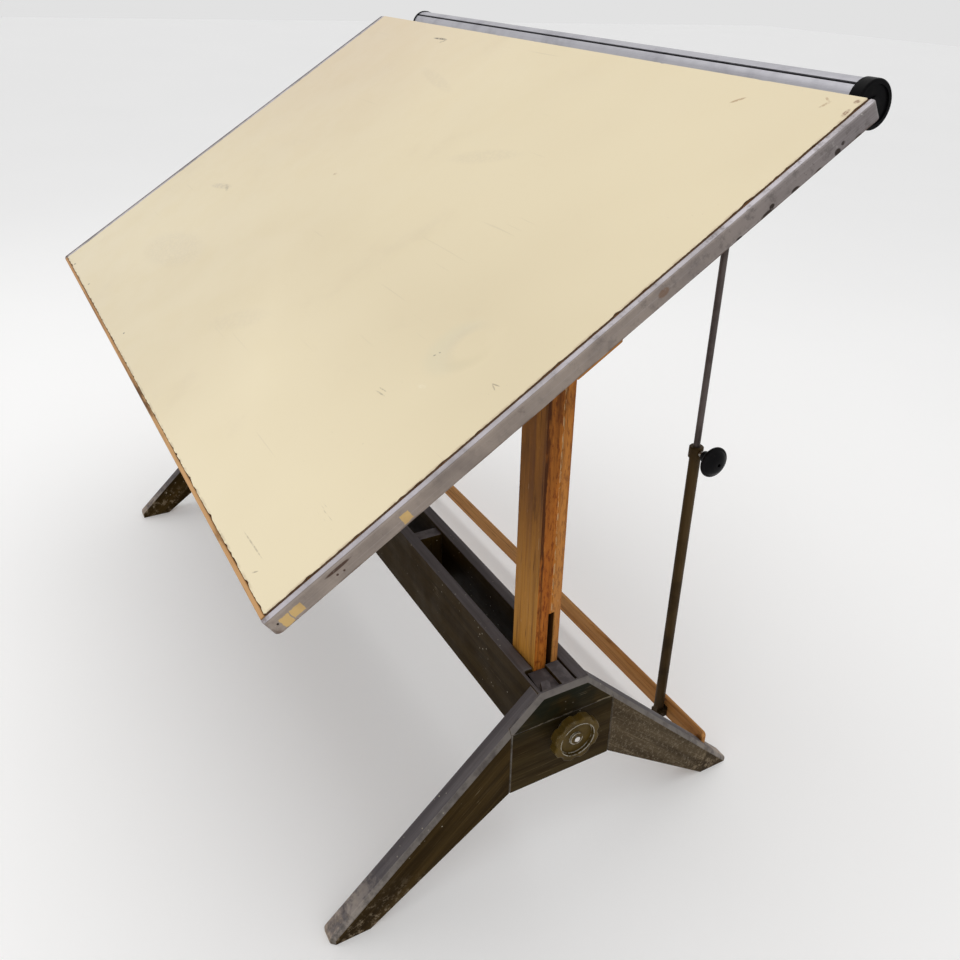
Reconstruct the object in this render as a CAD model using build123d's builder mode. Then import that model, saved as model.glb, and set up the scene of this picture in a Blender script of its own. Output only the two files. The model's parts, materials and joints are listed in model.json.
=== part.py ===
from build123d import *
import os

# Drafting table: two splayed trestles joined by a trough of two boards, oak posts
# that slide in the trough ends, and a board that tilts on the post tops and is
# stayed at the back by two telescopic steel stays.
# Frame: +X along the board's width, +Y towards its high rear edge, +Z up, with the
# floor at Z = 0 and the posts' centre plane at Y = 0.

# ---- driving dimensions (mm, degrees) ----
# drawing board
BOARD_WIDTH = 1524
BOARD_DEPTH = 948
BOARD_THICK = 22
SURFACE_THICK = 2
STRIP_WIDTH = 15.5
STRIP_BEVEL = 1.2
STRIP_BEAD = 4
STRIP_STEP = 0.8
STRIP_LAP = 2.4
STRIP_CORNER = 11
EDGING_WIDTH = 6
EDGING_ROUND = 1.5
BOARD_TILT = 32.3
PIVOT_Z = 887
PIVOT_BELOW_BOARD = 33
FRONT_REACH = 497.4

# trestles
TRESTLE_X = 702
LEG_THICK = 32
PANEL_THICK = 10
PANEL_HALF = 94
PANEL_BOTTOM = 166
PANEL_SEAM_Z = 288
PANEL_SEAM_GAP = 0.8
PANEL_GROOVE = 2
TOP_Z = 344
TOP_HALF = 42.5
FRONT_TOE = 395
FRONT_TOE_HEIGHT = 12
FRONT_TOE_ROUND = 9
FRONT_HEEL = 332
REAR_TOE = 386
REAR_TOE_HEIGHT = 3
REAR_HEEL = 321
FLOOR_TRIM = 18
OUTER_CHAMFER = 7

# trough and post guides
BEAM_BOTTOM = 215
BEAM_FRONT = -45
BEAM_THICK = 22
BEAM_REAR = 46.5
BEAM_INNER_FRONT = BEAM_FRONT + BEAM_THICK
BEAM_INNER_REAR = 25.5
BEAM_SKIN = 6
HOUSING_X = 640
SPACER_NEAR_X = 196
SPACER_FAR_X = 222
SPACER_BOTTOM = 228
SPACER_TOP = 338
INNER_GUIDE_NEAR_X = 548
INNER_GUIDE_TOP = 316
GUIDE_CLEARANCE = 1
FRONT_GUIDE_X = 642
FRONT_GUIDE_FRONT = -33
FRONT_GUIDE_TAPER = 4.3
FRONT_GUIDE_REAR = -2.2
FRONT_GUIDE_STEP = 6
WEDGE_X = 673
WEDGE_FRONT = -29
WEDGE_SLOPE = 0.435
WEDGE_DEPTH = 15.5
REAR_GUIDE_FRONT = -1.6
REAR_GUIDE_REAR = 21.5

# posts
POST_INNER_X = 575
POST_OUTER_X = 641
POST_HALF = 21.5
POST_BOTTOM = 130
SEAM_Y = 5
SLOT_WIDTH = 11
SLOT_DEPTH = 20
POCKET_WIDTH = 23
POCKET_DEPTH = 14
SLOT_TOP = 441
TILT_BOLT_RADIUS = 6
TILT_BOLT_OVERHANG = 12
TILT_HEAD_RADIUS = 13
TILT_HEAD_THICK = 7
TILT_NUT_RADIUS = 11
TILT_NUT_THICK = 9

# clamp and hand wheel
CLAMP_Z = 262
BOLT_DIA = 9.5
BOLT_HOLE_RADIUS = 5.5
BOLT_HEAD_THICK = 8
BOLT_HEAD_TALL = 22
BOLT_END_X = 734.5
BOLT_END_CHAMFER = 0.6
WASHER_RADIUS = 16
WASHER_THICK = 2
WHEEL_BACK = 704.4
WHEEL_RIM_BACK = 718
WHEEL_FRONT = 735
WHEEL_RADIUS = 41.5
WHEEL_LOBES = 8
LOBE_DEPTH = 4
LOBE_RADIUS = 10
WHEEL_HUB_RADIUS = 15
WHEEL_DISH_RADIUS = 30
WHEEL_DISH_DEPTH = 6
WHEEL_BOSS_RADIUS = 11
WHEEL_BOSS_DROP = 3

# rear bar and the feet of the stays
BAR_FRONT = 327
BAR_THICK = 10
BAR_BOTTOM = 38
BAR_HEIGHT = 40
BAR_END = 686
BAR_END_ROUND = 8
BAR_EDGE_ROUND = 2.5
STAY_X = 576
STAY_Y = 313
STAY_FOOT_Z = 50
FOOT_GAP = 14
CHEEK_THICK = 3
FOOT_CHEEK = 20
FOOT_CHEEK_TALL = 16
FOOT_PLATE_WIDTH = 20
FOOT_PLATE_THICK = 2.5
FOOT_PLATE_TALL = 20

# telescopic stays
TUBE_DIA = 19
TUBE_WALL = 1.5
TUBE_BOTTOM = 68
TUBE_TOP = 622
TUBE_FLOOR = 4
ROD_DIA = 11
ROD_LENGTH = 725
TANG_THICK = 6
FOOT_TANG_THICK = 12
TANG_LENGTH = 44
EYE_RADIUS = 9
PIN_DIA = 8
PIN_HEAD_THICK = 1.5
FOOT_PIN_HEAD = 6
TOP_PIN_HEAD = 11
COLLAR_RADIUS = 12
COLLAR_BELOW_KNOB = 10
COLLAR_LID = 4
SLEEVE_BOTTOM = 320
SLEEVE_LENGTH = 180
SCREW_RADIUS = 3
SCREW_FLANGE_RADIUS = 5
SCREW_FLANGE_START = 12.3
SCREW_END = 45
KNOB_Z = 617
KNOB_RADIUS = 26
KNOB_INNER = 20
KNOB_OUTER = 57
KNOB_SHOULDER = 39
KNOB_WAIST = 12
KNOB_NECK = 9

# top brackets of the stays
PIN_UP = 380
PIN_OFF = 15.3
PIN_TRAVEL = (-5.9, 29.5)
PIN_RISE = 4.3
TOP_GAP = 9
SLOT_CLEARANCE = 1
SLOT_ROUND = 5
CHEEK_MARGIN = 9
TOP_PLATE_THICK = 2
TOP_PLATE_WIDTH = 44
TOP_PLATE_MARGIN = 13
TOP_CHEEK_TALL = 31

# battens under the board
BATTEN_INNER_X = 643
BATTEN_OUTER_X = 686
BATTEN_FRONT = -372
BATTEN_REAR = 54
BATTEN_BOTTOM = -32
BATTEN_FRONT_BOTTOM = -18
BATTEN_DEEP_START = -30
BATTEN_STEP = 14
BATTEN_NOSE = 40
BATTEN_NOSE_TOP = 6
BATTEN_HEEL = 8
BATTEN_HEEL_TALL = 10
SCREW_STATIONS = (-330, -250, -170, -90)
SCREW_HEAD_OFF = 14
SCREW_HEAD_RADIUS = 5
SCREW_HEAD_THICK = 1.5

# roll tube behind the high edge
ROLL_RADIUS = 30
ROLL_WALL = 2
ROLL_GAP = 36
ROLL_DROP = 38.5
ROLL_START_X = -625
ROLL_END_X = 707
ROLL_SLOT_ANGLE = 96
ROLL_SLOT_WIDTH = 4.5
CAP_WALL = 1.8
NEAR_CAP_OVERLAP = 12
NEAR_CAP_BEYOND = 8
FAR_CAP_OVERLAP = 2
FAR_CAP_BEYOND = 4
CAP_ROUND = 3
CAP_DISH_RADIUS = 25
CAP_DISH_DEPTH = 2.5
CAP_BOSS_RADIUS = 10
HANGER_STATIONS = (-480, 0, 480)
HANGER_WIDTH = 30
HANGER_START = 395
HANGER_THICK = 2

RUNNING_FIT = 0.05
FREE_FIT = 0.4

LEG_INNER_X = TRESTLE_X - LEG_THICK
PANEL_INNER_X = TRESTLE_X - PANEL_THICK
CLAMP_Y = SEAM_Y
BATTEN_HEAD_X = BATTEN_OUTER_X + 0.6

# The board's own plane: origin on the tilt axis, x along the width, y up the slope
# and z square to the surface.
BOARD = Plane(origin=(0, 0, PIVOT_Z), x_dir=(1, 0, 0), z_dir=Vector(0, 0, 1).rotate(Axis.X, BOARD_TILT))
UNDERSIDE = PIVOT_BELOW_BOARD
SURFACE = UNDERSIDE + BOARD_THICK
REAR_REACH = BOARD_DEPTH - FRONT_REACH
CORE_HALF = BOARD_WIDTH / 2 - STRIP_WIDTH

os.makedirs("parts", exist_ok=True)


def save(piece, name):
    """Label one finished piece and write it to its own file."""
    piece.label = name
    export_step(piece, f"parts/{name}.step")


def save_pair(piece, name):
    """Write a right-hand piece, and its mirror image for the left end."""
    with BuildPart() as left:
        mirror(piece, about=Plane.YZ)
    save(piece, f"{name}_right")
    save(left.part, f"{name}_left")


def side_plane(x):
    """A plane square to X at x, whose own x is world Y and whose own y is world Z."""
    return Plane(origin=(x, 0, 0), x_dir=(0, 1, 0), z_dir=(1, 0, 0))


def board_plane(x):
    """A plane square to X at x, whose own x runs up the board's slope."""
    return Plane(origin=(x, 0, PIVOT_Z), x_dir=BOARD.y_dir, z_dir=(1, 0, 0))


def on_board(plane_x, plane_y, plane_z):
    """The point of the table's frame that lies there in the board's own plane."""
    return BOARD.from_local_coords(Vector(plane_x, plane_y, plane_z))


# ---- trestles ----
def top_line(toe, toe_height):
    """Height of a leg's sloping top edge where it passes the end panel's edge."""
    slope = (TOP_Z - toe_height) / (toe - TOP_HALF)
    return TOP_Z - slope * (PANEL_HALF - TOP_HALF)


FRONT_SHOULDER = top_line(FRONT_TOE, FRONT_TOE_HEIGHT)
REAR_SHOULDER = top_line(REAR_TOE, REAR_TOE_HEIGHT)


def leg(direction, toe, toe_height, toe_round, heel, beam_face):
    """A splayed leg: a tapering plank with a tongue behind the end panel."""
    shoulder = top_line(toe, toe_height)
    trimmed_heel = heel + FLOOR_TRIM * (heel - PANEL_HALF) / PANEL_BOTTOM
    tongue_top = TOP_Z - (TOP_Z - shoulder) * (beam_face - TOP_HALF) / (PANEL_HALF - TOP_HALF)
    with BuildPart() as plank:
        with BuildSketch(side_plane(LEG_INNER_X)):
            with BuildLine():
                Polyline(
                    (direction * PANEL_HALF, PANEL_BOTTOM),
                    (direction * PANEL_HALF, shoulder),
                    (direction * toe, toe_height),
                    (direction * toe, -FLOOR_TRIM),
                    (direction * trimmed_heel, -FLOOR_TRIM),
                    close=True,
                )
            make_face()
        extrude(amount=LEG_THICK)
        if toe_round:
            toe_edges = plank.edges().filter_by(Axis.X).group_by(Axis.Y)[0 if direction < 0 else -1]
            fillet(toe_edges.sort_by(Axis.Z)[-1], toe_round)
        rim = plank.faces().sort_by(Axis.X)[-1].edges()
        sloping = rim.filter_by(lambda e: abs(e.tangent_at(0.5).Y) > 0.1 and e.length > PANEL_HALF)
        chamfer(sloping.sort_by(Axis.Z)[-1], OUTER_CHAMFER)
        split(bisect_by=Plane.XY, keep=Keep.TOP)
        with BuildSketch(side_plane(LEG_INNER_X)):
            with BuildLine():
                Polyline(
                    (direction * PANEL_HALF, BEAM_BOTTOM),
                    (direction * PANEL_HALF, shoulder),
                    (direction * beam_face, tongue_top),
                    (direction * beam_face, BEAM_BOTTOM),
                    close=True,
                )
            make_face()
        extrude(amount=LEG_THICK - PANEL_THICK)
    return plank


front_leg = leg(-1, FRONT_TOE, FRONT_TOE_HEIGHT, FRONT_TOE_ROUND, FRONT_HEEL, -BEAM_FRONT)
save_pair(front_leg.part, "front_leg")

rear_plank = leg(1, REAR_TOE, REAR_TOE_HEIGHT, 0, REAR_HEEL, BEAM_REAR)
with BuildPart() as rear_leg:
    add(rear_plank.part)
    with BuildSketch(side_plane(LEG_INNER_X)):
        with Locations((BAR_FRONT + BAR_THICK / 2, BAR_BOTTOM + BAR_HEIGHT)):
            Rectangle(BAR_THICK, 2 * BAR_HEIGHT)
    extrude(amount=BAR_END - LEG_INNER_X, mode=Mode.SUBTRACT)
save_pair(rear_leg.part, "rear_leg")


def end_panel(bottom, top):
    """One of the two boards that close a trestle's outer face between its legs."""
    with BuildPart() as panel:
        with BuildSketch(side_plane(PANEL_INNER_X)):
            with BuildLine():
                Polyline(
                    (-PANEL_HALF, PANEL_BOTTOM),
                    (PANEL_HALF, PANEL_BOTTOM),
                    (PANEL_HALF, REAR_SHOULDER),
                    (TOP_HALF, TOP_Z),
                    (-TOP_HALF, TOP_Z),
                    (-PANEL_HALF, FRONT_SHOULDER),
                    close=True,
                )
            make_face()
        extrude(amount=PANEL_THICK)
        rim = panel.faces().sort_by(Axis.X)[-1].edges()
        chamfer(rim.filter_by(lambda e: e.center().Z > FRONT_SHOULDER + 1), OUTER_CHAMFER)
        with BuildSketch(side_plane(PANEL_INNER_X)):
            with Locations((0, (bottom + top) / 2)):
                Rectangle(2 * PANEL_HALF, top - bottom)
        extrude(amount=PANEL_THICK, mode=Mode.INTERSECT)
        with BuildSketch(side_plane(PANEL_INNER_X)):
            with Locations((CLAMP_Y, CLAMP_Z)):
                Circle(BOLT_HOLE_RADIUS)
        extrude(amount=PANEL_THICK, mode=Mode.SUBTRACT)
        with BuildSketch(Plane.XY.offset(bottom)):
            for edge_y in (-PANEL_HALF, PANEL_HALF):
                with Locations(Location((TRESTLE_X, edge_y), 45)):
                    Rectangle(PANEL_GROOVE * 2**0.5, PANEL_GROOVE * 2**0.5)
        extrude(amount=top - bottom, mode=Mode.SUBTRACT)
    return panel


save_pair(end_panel(PANEL_BOTTOM, PANEL_SEAM_Z - PANEL_SEAM_GAP / 2).part, "end_panel_lower")
save_pair(end_panel(PANEL_SEAM_Z + PANEL_SEAM_GAP / 2, TOP_Z).part, "end_panel_upper")

# ---- trough between the trestles ----
with BuildPart() as front_beam:
    with BuildSketch(Plane.XY.offset(BEAM_BOTTOM)):
        with Locations((0, BEAM_FRONT + BEAM_THICK / 2)):
            Rectangle(2 * PANEL_INNER_X, BEAM_THICK)
    extrude(amount=TOP_Z - BEAM_BOTTOM)
    housing = PANEL_INNER_X - HOUSING_X
    with BuildSketch(Plane.XY.offset(BEAM_BOTTOM)):
        for end in (-1, 1):
            with Locations((end * (HOUSING_X + housing / 2), BEAM_INNER_FRONT)):
                Rectangle(housing, 2 * (BEAM_THICK - BEAM_SKIN))
    extrude(amount=TOP_Z - BEAM_BOTTOM, mode=Mode.SUBTRACT)
save(front_beam.part, "front_beam")

with BuildPart() as rear_beam:
    with BuildSketch(Plane.XY.offset(BEAM_BOTTOM)):
        with Locations((0, (BEAM_REAR + BEAM_INNER_REAR) / 2)):
            Rectangle(2 * PANEL_INNER_X, BEAM_REAR - BEAM_INNER_REAR)
    extrude(amount=TOP_Z - BEAM_BOTTOM)
save(rear_beam.part, "rear_beam")


def trough_blocks(near_x, far_x, bottom, top):
    """A block across the trough at each end, between the two beams."""
    with BuildPart() as blocks:
        with BuildSketch(Plane.XY.offset(bottom)):
            for end in (-1, 1):
                with Locations((end * (near_x + far_x) / 2, (BEAM_INNER_FRONT + BEAM_INNER_REAR) / 2)):
                    Rectangle(far_x - near_x, BEAM_INNER_REAR - BEAM_INNER_FRONT)
        extrude(amount=top - bottom)
    return blocks


save(trough_blocks(SPACER_NEAR_X, SPACER_FAR_X, SPACER_BOTTOM, SPACER_TOP).part, "trough_spacers")
inner_guide_far_x = POST_INNER_X - GUIDE_CLEARANCE
inner_guides = trough_blocks(INNER_GUIDE_NEAR_X, inner_guide_far_x, BEAM_BOTTOM, INNER_GUIDE_TOP)
save(inner_guides.part, "inner_post_guides")


def wedge_front(x):
    """The Y of the slanting face of the front guide's raised end."""
    return WEDGE_FRONT - WEDGE_SLOPE * (x - WEDGE_X)


with BuildPart() as front_post_guide:
    with BuildSketch(Plane.XY.offset(BEAM_BOTTOM)):
        with BuildLine():
            Polyline(
                (FRONT_GUIDE_X, FRONT_GUIDE_REAR),
                (FRONT_GUIDE_X, FRONT_GUIDE_FRONT),
                (PANEL_INNER_X, FRONT_GUIDE_FRONT - FRONT_GUIDE_TAPER),
                (PANEL_INNER_X, FRONT_GUIDE_REAR),
                close=True,
            )
        make_face()
    extrude(amount=TOP_Z - FRONT_GUIDE_STEP - BEAM_BOTTOM)
    with BuildSketch(Plane.XY.offset(TOP_Z - FRONT_GUIDE_STEP)):
        with BuildLine():
            Polyline(
                (WEDGE_X, wedge_front(WEDGE_X) + WEDGE_DEPTH),
                (WEDGE_X, wedge_front(WEDGE_X)),
                (PANEL_INNER_X, wedge_front(PANEL_INNER_X)),
                (PANEL_INNER_X, wedge_front(PANEL_INNER_X) + WEDGE_DEPTH),
                close=True,
            )
        make_face()
    extrude(amount=FRONT_GUIDE_STEP)
save_pair(front_post_guide.part, "front_post_guide")

with BuildPart() as rear_post_guide:
    guide_length = PANEL_INNER_X - POST_OUTER_X - GUIDE_CLEARANCE
    with BuildSketch(Plane.XY.offset(BEAM_BOTTOM)):
        with Locations((PANEL_INNER_X - guide_length / 2, (REAR_GUIDE_FRONT + REAR_GUIDE_REAR) / 2)):
            Rectangle(guide_length, REAR_GUIDE_REAR - REAR_GUIDE_FRONT)
    extrude(amount=TOP_Z - BEAM_BOTTOM)
    with BuildSketch(side_plane(PANEL_INNER_X)):
        with Locations((CLAMP_Y, CLAMP_Z)):
            Circle(BOLT_HOLE_RADIUS)
    extrude(amount=-guide_length, mode=Mode.SUBTRACT)
save_pair(rear_post_guide.part, "rear_post_guide")


# ---- sliding posts ----
def post_half(y_start, y_end):
    """One lamination of a post, with its share of the T-slot for the clamp bolt."""
    with BuildPart() as half:
        with BuildSketch(side_plane(POST_INNER_X)):
            with Locations((0, PIVOT_Z)):
                Circle(POST_HALF)
            with Locations(((y_start + y_end) / 2, PIVOT_Z + POST_HALF)):
                Rectangle(y_end - y_start, 2 * POST_HALF, mode=Mode.INTERSECT)
            with Locations(((y_start + y_end) / 2, (POST_BOTTOM + PIVOT_Z) / 2)):
                Rectangle(y_end - y_start, PIVOT_Z - POST_BOTTOM)
        extrude(amount=POST_OUTER_X - POST_INNER_X)
        slot_height = SLOT_TOP - POST_BOTTOM
        with BuildSketch(Plane.XY.offset(POST_BOTTOM)):
            with Locations((POST_OUTER_X - SLOT_DEPTH / 2, SEAM_Y)):
                Rectangle(SLOT_DEPTH, SLOT_WIDTH)
            with Locations((POST_OUTER_X - SLOT_DEPTH - POCKET_DEPTH / 2, SEAM_Y)):
                Rectangle(POCKET_DEPTH, POCKET_WIDTH)
        extrude(amount=slot_height, mode=Mode.SUBTRACT)
        with BuildSketch(side_plane(POST_INNER_X)):
            with Locations((0, PIVOT_Z)):
                Circle(TILT_BOLT_RADIUS)
        extrude(amount=POST_OUTER_X - POST_INNER_X, mode=Mode.SUBTRACT)
    return half


save_pair(post_half(-POST_HALF, SEAM_Y).part, "post_front")
save_pair(post_half(SEAM_Y, POST_HALF).part, "post_rear")

with BuildPart() as tilt_bolt:
    bolt_start = POST_INNER_X - TILT_BOLT_OVERHANG
    with BuildSketch(side_plane(bolt_start)):
        with Locations((0, PIVOT_Z)):
            Circle(TILT_BOLT_RADIUS)
    extrude(amount=BATTEN_HEAD_X - bolt_start)
    with BuildSketch(side_plane(BATTEN_HEAD_X)):
        with Locations((0, PIVOT_Z)):
            Circle(TILT_HEAD_RADIUS)
    extrude(amount=TILT_HEAD_THICK)
    chamfer(tilt_bolt.edges().filter_by(GeomType.CIRCLE).sort_by(Axis.X)[-1], TILT_HEAD_THICK / 3)
save_pair(tilt_bolt.part, "tilt_bolt")

with BuildPart() as tilt_nuts:
    with BuildSketch(side_plane(POST_INNER_X - TILT_NUT_THICK)):
        with Locations((0, PIVOT_Z)):
            RegularPolygon(radius=TILT_NUT_RADIUS, side_count=6)
            Circle(TILT_BOLT_RADIUS, mode=Mode.SUBTRACT)
    extrude(amount=TILT_NUT_THICK)
    mirror(tilt_nuts.part, about=Plane.YZ)
save(tilt_nuts.part, "tilt_nuts")

# ---- clamp that locks each post ----
with BuildPart() as clamp_bolt:
    shank_start = POST_OUTER_X - SLOT_DEPTH - FREE_FIT
    with BuildSketch(side_plane(shank_start - BOLT_HEAD_THICK)):
        with Locations((CLAMP_Y, CLAMP_Z)):
            Rectangle(POCKET_WIDTH - 3, BOLT_HEAD_TALL)
    extrude(amount=BOLT_HEAD_THICK)
    with BuildSketch(side_plane(shank_start)):
        with Locations((CLAMP_Y, CLAMP_Z)):
            Circle(BOLT_DIA / 2)
    extrude(amount=BOLT_END_X - shank_start)
    chamfer(clamp_bolt.edges().filter_by(GeomType.CIRCLE).sort_by(Axis.X)[-1], BOLT_END_CHAMFER)
save_pair(clamp_bolt.part, "clamp_bolt")

with BuildPart() as clamp_washers:
    with BuildSketch(side_plane(TRESTLE_X)):
        with Locations((CLAMP_Y, CLAMP_Z)):
            Circle(WASHER_RADIUS)
            Circle(BOLT_DIA / 2 + FREE_FIT, mode=Mode.SUBTRACT)
    extrude(amount=WASHER_THICK)
    mirror(clamp_washers.part, about=Plane.YZ)
save(clamp_washers.part, "clamp_washers")

with BuildPart() as hand_wheel:
    wheel_centre = (CLAMP_Y, CLAMP_Z)
    with BuildSketch(side_plane(WHEEL_RIM_BACK)) as rim_outline:
        with Locations(wheel_centre):
            Circle(WHEEL_RADIUS)
            with PolarLocations(WHEEL_RADIUS + LOBE_RADIUS - LOBE_DEPTH, WHEEL_LOBES):
                Circle(LOBE_RADIUS, mode=Mode.SUBTRACT)
        fillet(rim_outline.vertices(), LOBE_DEPTH)
    extrude(amount=WHEEL_FRONT - WHEEL_RIM_BACK)
    fillet(hand_wheel.faces().filter_by(Axis.X).edges(), 3)
    with BuildSketch(side_plane(WHEEL_BACK)):
        with Locations(wheel_centre):
            Circle(WHEEL_HUB_RADIUS)
    extrude(amount=WHEEL_RIM_BACK - WHEEL_BACK)
    with BuildSketch(side_plane(WHEEL_FRONT)):
        with Locations(wheel_centre):
            Circle(WHEEL_DISH_RADIUS)
            Circle(WHEEL_BOSS_RADIUS, mode=Mode.SUBTRACT)
    extrude(amount=-WHEEL_DISH_DEPTH, mode=Mode.SUBTRACT)
    with BuildSketch(side_plane(WHEEL_FRONT)):
        with Locations(wheel_centre):
            Circle(WHEEL_BOSS_RADIUS)
    extrude(amount=-WHEEL_BOSS_DROP, mode=Mode.SUBTRACT)
    with BuildSketch(side_plane(WHEEL_BACK)):
        with Locations(wheel_centre):
            Circle(BOLT_DIA / 2 + RUNNING_FIT)
    extrude(amount=WHEEL_FRONT - WHEEL_BACK, mode=Mode.SUBTRACT)
save_pair(hand_wheel.part, "hand_wheel")

# ---- rear bar and the feet of the stays ----
with BuildPart() as rear_bar:
    with BuildSketch(Plane.XZ.offset(-BAR_FRONT - BAR_THICK)):
        with Locations((0, BAR_BOTTOM + BAR_HEIGHT / 2)):
            RectangleRounded(2 * BAR_END, BAR_HEIGHT, BAR_END_ROUND)
    extrude(amount=BAR_THICK)
    fillet(rear_bar.faces().filter_by(Axis.Y).edges(), BAR_EDGE_ROUND)
save(rear_bar.part, "rear_bar")

with BuildPart() as stay_foot_bracket:
    plate_bottom = STAY_FOOT_Z - FOOT_PLATE_TALL / 2 + BAR_EDGE_ROUND
    with BuildSketch(Plane.XY.offset(plate_bottom)):
        with Locations((STAY_X, BAR_FRONT - FOOT_PLATE_THICK / 2)):
            Rectangle(FOOT_PLATE_WIDTH, FOOT_PLATE_THICK)
    extrude(amount=FOOT_PLATE_TALL)
    with BuildSketch(Plane.XY.offset(STAY_FOOT_Z - FOOT_CHEEK_TALL / 2)):
        for offset_x in (-1, 1):
            cheek_x = STAY_X + offset_x * (FOOT_GAP + CHEEK_THICK) / 2
            with Locations((cheek_x, BAR_FRONT - FOOT_PLATE_THICK - FOOT_CHEEK / 2)):
                Rectangle(CHEEK_THICK, FOOT_CHEEK)
    extrude(amount=FOOT_CHEEK_TALL)
    with BuildSketch(side_plane(STAY_X - FOOT_PLATE_WIDTH)):
        with Locations((STAY_Y, STAY_FOOT_Z)):
            Circle(PIN_DIA / 2)
    extrude(amount=2 * FOOT_PLATE_WIDTH, mode=Mode.SUBTRACT)
save_pair(stay_foot_bracket.part, "stay_foot_bracket")


def cross_pin(height, y, half_length, head_radius):
    """A plain pin along X through a stay's end, with a flat head at each end."""
    with BuildPart() as pin:
        with BuildSketch(side_plane(STAY_X - half_length)):
            with Locations((y, height)):
                Circle(PIN_DIA / 2)
        extrude(amount=2 * half_length)
        for start in (-half_length - PIN_HEAD_THICK, half_length):
            with BuildSketch(side_plane(STAY_X + start)):
                with Locations((y, height)):
                    Circle(head_radius)
            extrude(amount=PIN_HEAD_THICK)
    return pin


foot_pin = cross_pin(STAY_FOOT_Z, STAY_Y, FOOT_GAP / 2 + CHEEK_THICK, FOOT_PIN_HEAD)
with BuildPart() as stay_foot_pins:
    add(foot_pin.part)
    mirror(foot_pin.part, about=Plane.YZ)
save(stay_foot_pins.part, "stay_foot_pins")

# ---- telescopic stays ----
STAY_AXIS = Plane(origin=(STAY_X, STAY_Y, 0), x_dir=(1, 0, 0), z_dir=(0, 0, 1))

with BuildPart() as stay_tube:
    with BuildSketch(STAY_AXIS.offset(TUBE_BOTTOM)):
        Circle(TUBE_DIA / 2)
    extrude(amount=TUBE_TOP - TUBE_BOTTOM)
    with BuildSketch(STAY_AXIS.offset(TUBE_BOTTOM + TUBE_FLOOR)):
        Circle(TUBE_DIA / 2 - TUBE_WALL)
    extrude(amount=TUBE_TOP - TUBE_BOTTOM - TUBE_FLOOR, mode=Mode.SUBTRACT)
    with BuildSketch(side_plane(STAY_X - FOOT_TANG_THICK / 2)):
        with Locations((STAY_Y, STAY_FOOT_Z)):
            Circle(PIN_DIA)
        with Locations((STAY_Y, (STAY_FOOT_Z + TUBE_BOTTOM) / 2)):
            Rectangle(2 * PIN_DIA, TUBE_BOTTOM - STAY_FOOT_Z)
        with Locations((STAY_Y, STAY_FOOT_Z)):
            Circle(PIN_DIA / 2 + RUNNING_FIT, mode=Mode.SUBTRACT)
    extrude(amount=FOOT_TANG_THICK)
    with BuildSketch(side_plane(STAY_X)):
        with Locations((STAY_Y, KNOB_Z)):
            Circle(SCREW_RADIUS + RUNNING_FIT)
    extrude(amount=TUBE_DIA, mode=Mode.SUBTRACT)
save_pair(stay_tube.part, "stay_tube")

with BuildPart() as stay_collar:
    with BuildSketch(STAY_AXIS.offset(KNOB_Z - COLLAR_BELOW_KNOB)):
        Circle(COLLAR_RADIUS)
        Circle(TUBE_DIA / 2, mode=Mode.SUBTRACT)
    extrude(amount=TUBE_TOP - KNOB_Z + COLLAR_BELOW_KNOB)
    with BuildSketch(STAY_AXIS.offset(TUBE_TOP)):
        Circle(COLLAR_RADIUS)
        Circle(ROD_DIA / 2 + FREE_FIT, mode=Mode.SUBTRACT)
    extrude(amount=COLLAR_LID)
    chamfer(stay_collar.faces().sort_by(Axis.Z)[-1].edges().sort_by(SortBy.LENGTH)[-1], 1.5)
    with BuildSketch(side_plane(STAY_X)):
        with Locations((STAY_Y, KNOB_Z)):
            Circle(SCREW_RADIUS + RUNNING_FIT)
    extrude(amount=2 * COLLAR_RADIUS, mode=Mode.SUBTRACT)
save_pair(stay_collar.part, "stay_collar")

with BuildPart() as stay_sleeve:
    with BuildSketch(STAY_AXIS.offset(SLEEVE_BOTTOM)):
        Circle(TUBE_DIA / 2 - TUBE_WALL - FREE_FIT)
        Circle(ROD_DIA / 2 + FREE_FIT, mode=Mode.SUBTRACT)
    extrude(amount=SLEEVE_LENGTH)
save_pair(stay_sleeve.part, "stay_sleeve")

# The stay's top pin lies PIN_UP up the board's slope and PIN_OFF square to it.
TOP_PIN_Z = on_board(STAY_X, PIN_UP, PIN_OFF).Z

with BuildPart() as stay_rod:
    with BuildSketch(STAY_AXIS.offset(TOP_PIN_Z - ROD_LENGTH)):
        Circle(ROD_DIA / 2)
    extrude(amount=ROD_LENGTH - TANG_LENGTH)
    with BuildSketch(side_plane(STAY_X - TANG_THICK / 2)):
        with Locations((STAY_Y, TOP_PIN_Z)):
            Circle(EYE_RADIUS)
        with Locations((STAY_Y, TOP_PIN_Z - (TANG_LENGTH + EYE_RADIUS) / 2)):
            Rectangle(ROD_DIA, TANG_LENGTH + EYE_RADIUS)
        with Locations((STAY_Y, TOP_PIN_Z)):
            Circle(PIN_DIA / 2, mode=Mode.SUBTRACT)
    extrude(amount=TANG_THICK)
save_pair(stay_rod.part, "stay_rod")

top_pin = cross_pin(TOP_PIN_Z, STAY_Y, TOP_GAP / 2 + CHEEK_THICK + FREE_FIT, TOP_PIN_HEAD)
save_pair(top_pin.part, "stay_top_pin")

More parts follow.
